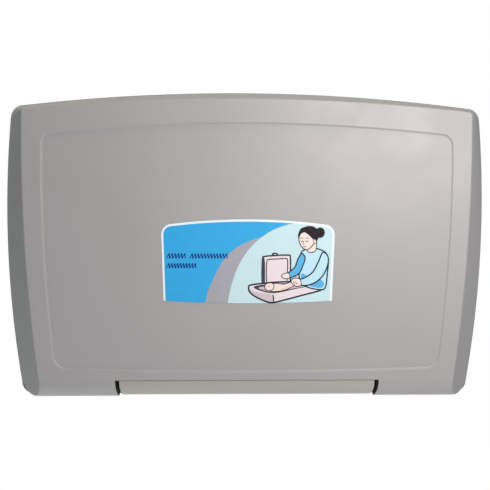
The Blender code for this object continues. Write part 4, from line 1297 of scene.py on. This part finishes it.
def make_refill_cover():
    """The sliding cover: a plate with five grip ribs and a raised finger bar."""
    low, high = CASE_Z[0] + 3.0, CASE_Z[1]
    front, rear = COVER_Y
    bm = bmesh.new()
    plate = ((0.4, rear), (0.0, rear - 0.4), (0.0, front + 0.6), (0.5, front), (9.0, front),
             (9.8, front + 0.5), (10.6, front + 0.9), (11.6, front + 1.0))
    add_slab(bm, -COVER_HALF, COVER_HALF, low, high, 4.0, plate, shrink=0.2)
    rib = ((0.0, front + 1.2), (0.0, front + 0.7), (0.45, front + 0.2))
    for i in range(5):
        z = high - 34 + 4.6 * i
        add_slab(bm, -60, 60, z, z + 2.4, 0.7, rib, shrink=0.0)
    grip = ((0.0, front + 0.4), (0.0, front - 3.6), (0.5, front - 4.6), (1.5, front - 5.0))
    add_slab(bm, -30, 30, low + 12, low + 18, 1.4, grip, shrink=0.0)
    cover = piece("dispenser_door_look", bm, "refill_cover", "shell_grey", 38.0)
    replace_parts(cover, "dispenser_door")


# ---------------- stage, light and camera

WORLD_FILL = 0.25
# Name, place, aimed at, width, height, power, colour. Only the key is seen in reflections.
LIGHTS = (
    ("key", (0.43, -1.08, 0.38), (0.25, -0.1, 0.1), 0.45, 0.55, 9.7, (1.0, 0.925, 0.92)),
    ("top", (0.06, -0.34, 1.7), (0.0, -0.08, 0.25), 1.0, 0.5, 12.0, (1.0, 0.89, 0.77)),
    ("low", (-1.3, -0.55, -0.9), (-0.42, -0.08, -0.2), 0.6, 0.6, 0.7, (0.9, 0.96, 1.0)),
    ("rear", (-1.6, 3.2, 1.6), (0.0, 0.0, 0.0), 2.4, 1.8, 130.0, (1.0, 1.0, 1.0)),
)
FLOOR_AT = (0.0, -1.1, -1.15)
FLOOR_R = 3.3
FLOOR_GLOW = 0.25

# The camera, fitted to the photograph's view: metres, radians and a 36 mm sensor.
CAMERA_AT = (-0.0895, -2.005, 0.0837)
CAMERA_PAN = 0.044
CAMERA_TILT = -0.0412
CAMERA_ROLL = 0.0044
CAMERA_LENS = 77.0


def world_light():
    """White to the camera, and a soft, slightly blue fill on the object."""
    world = bpy.data.worlds.new("studio")
    bpy.context.scene.world = world
    world.use_nodes = True
    tree = world.node_tree
    seen = tree.nodes["Background"]
    seen.inputs["Color"].default_value = (1.0, 1.0, 1.0, 1.0)
    fill = add_node(tree, "Background", Color=(0.93, 0.97, 1.0, 1.0), Strength=WORLD_FILL)
    from_camera = add_node(tree, "LightPath").outputs["Is Camera Ray"]
    mix = add_node(tree, "MixShader", Fac=from_camera)
    for background, socket in ((fill, mix.inputs[1]), (seen, mix.inputs[2])):
        tree.links.new(background.outputs["Background"], socket)
    tree.links.new(mix.outputs["Shader"], tree.nodes["World Output"].inputs["Surface"])


def add_light(name, at, target, width, height, power, colour):
    data = bpy.data.lights.new(name, "AREA")
    data.shape = "RECTANGLE"
    data.size = width
    data.size_y = height
    data.energy = power
    data.color = colour
    obj = add_object(name, data)
    obj.location = at
    obj.rotation_euler = (Vector(target) - Vector(at)).to_track_quat("-Z", "Y").to_euler()
    obj.visible_camera = False
    obj.visible_glossy = name == "key"


def add_floor():
    """A plain pale studio floor well below the wall-mounted unit."""
    bm = bmesh.new()
    bmesh.ops.create_circle(bm, cap_ends=True, radius=FLOOR_R, segments=96)
    mesh = bpy.data.meshes.new("floor")
    bm.to_mesh(mesh)
    bm.free()
    floor = add_object("floor", mesh)
    floor.location = FLOOR_AT
    paint = Paint("pale_floor", 0.9)
    paint.tinted(srgb(240, 240, 239), 0.01, 1.5)
    paint.set("Emission Color", (1.0, 1.0, 1.0, 1.0)).set("Emission Strength", FLOOR_GLOW)
    mesh.materials.append(paint.mat)


def add_camera():
    """Looks along +Y, turned by the pan, then the tilt, then the roll."""
    cos_pan, sin_pan = cos(CAMERA_PAN), sin(CAMERA_PAN)
    cos_tilt, sin_tilt = cos(CAMERA_TILT), sin(CAMERA_TILT)
    forward = Vector((sin_pan * cos_tilt, cos_pan * cos_tilt, sin_tilt))
    right = Vector((cos_pan, -sin_pan, 0.0))
    up = right.cross(forward)
    cos_roll, sin_roll = cos(CAMERA_ROLL), sin(CAMERA_ROLL)
    turned = right * cos_roll + up * sin_roll
    upright = up * cos_roll - right * sin_roll
    data = bpy.data.cameras.new("camera")
    data.lens = CAMERA_LENS
    data.sensor_width = 36.0
    data.clip_start = 0.05
    camera = add_object("camera", data)
    columns = Matrix((turned, upright, -forward)).transposed().to_4x4()
    camera.matrix_world = Matrix.Translation(CAMERA_AT) @ columns
    bpy.context.scene.camera = camera


def main():
    bpy.context.scene.view_settings.view_transform = "Standard"
    world_light()
    for light in LIGHTS:
        add_light(*light)
    add_floor()
    add_camera()
    make_bed_shell()
    make_painted_shade_washers()
    make_label()
    make_bed_liner()
    make_barrel()
    make_wall_shell()
    make_inner_panel()
    make_straps()
    make_buckle()
    make_screws()
    make_bag_hooks()
    make_strap_anchors()
    make_refill_cover()
    slots = {row["node"]: row["material_slot"] for row in frame["record"]["subparts"]}
    for body, names in frame["record"]["behaviour"]["bodies"].items():
        for node in names:
            if not frame["nodes"][node].hide_render:
                refine(node, body, slots[node])


main()
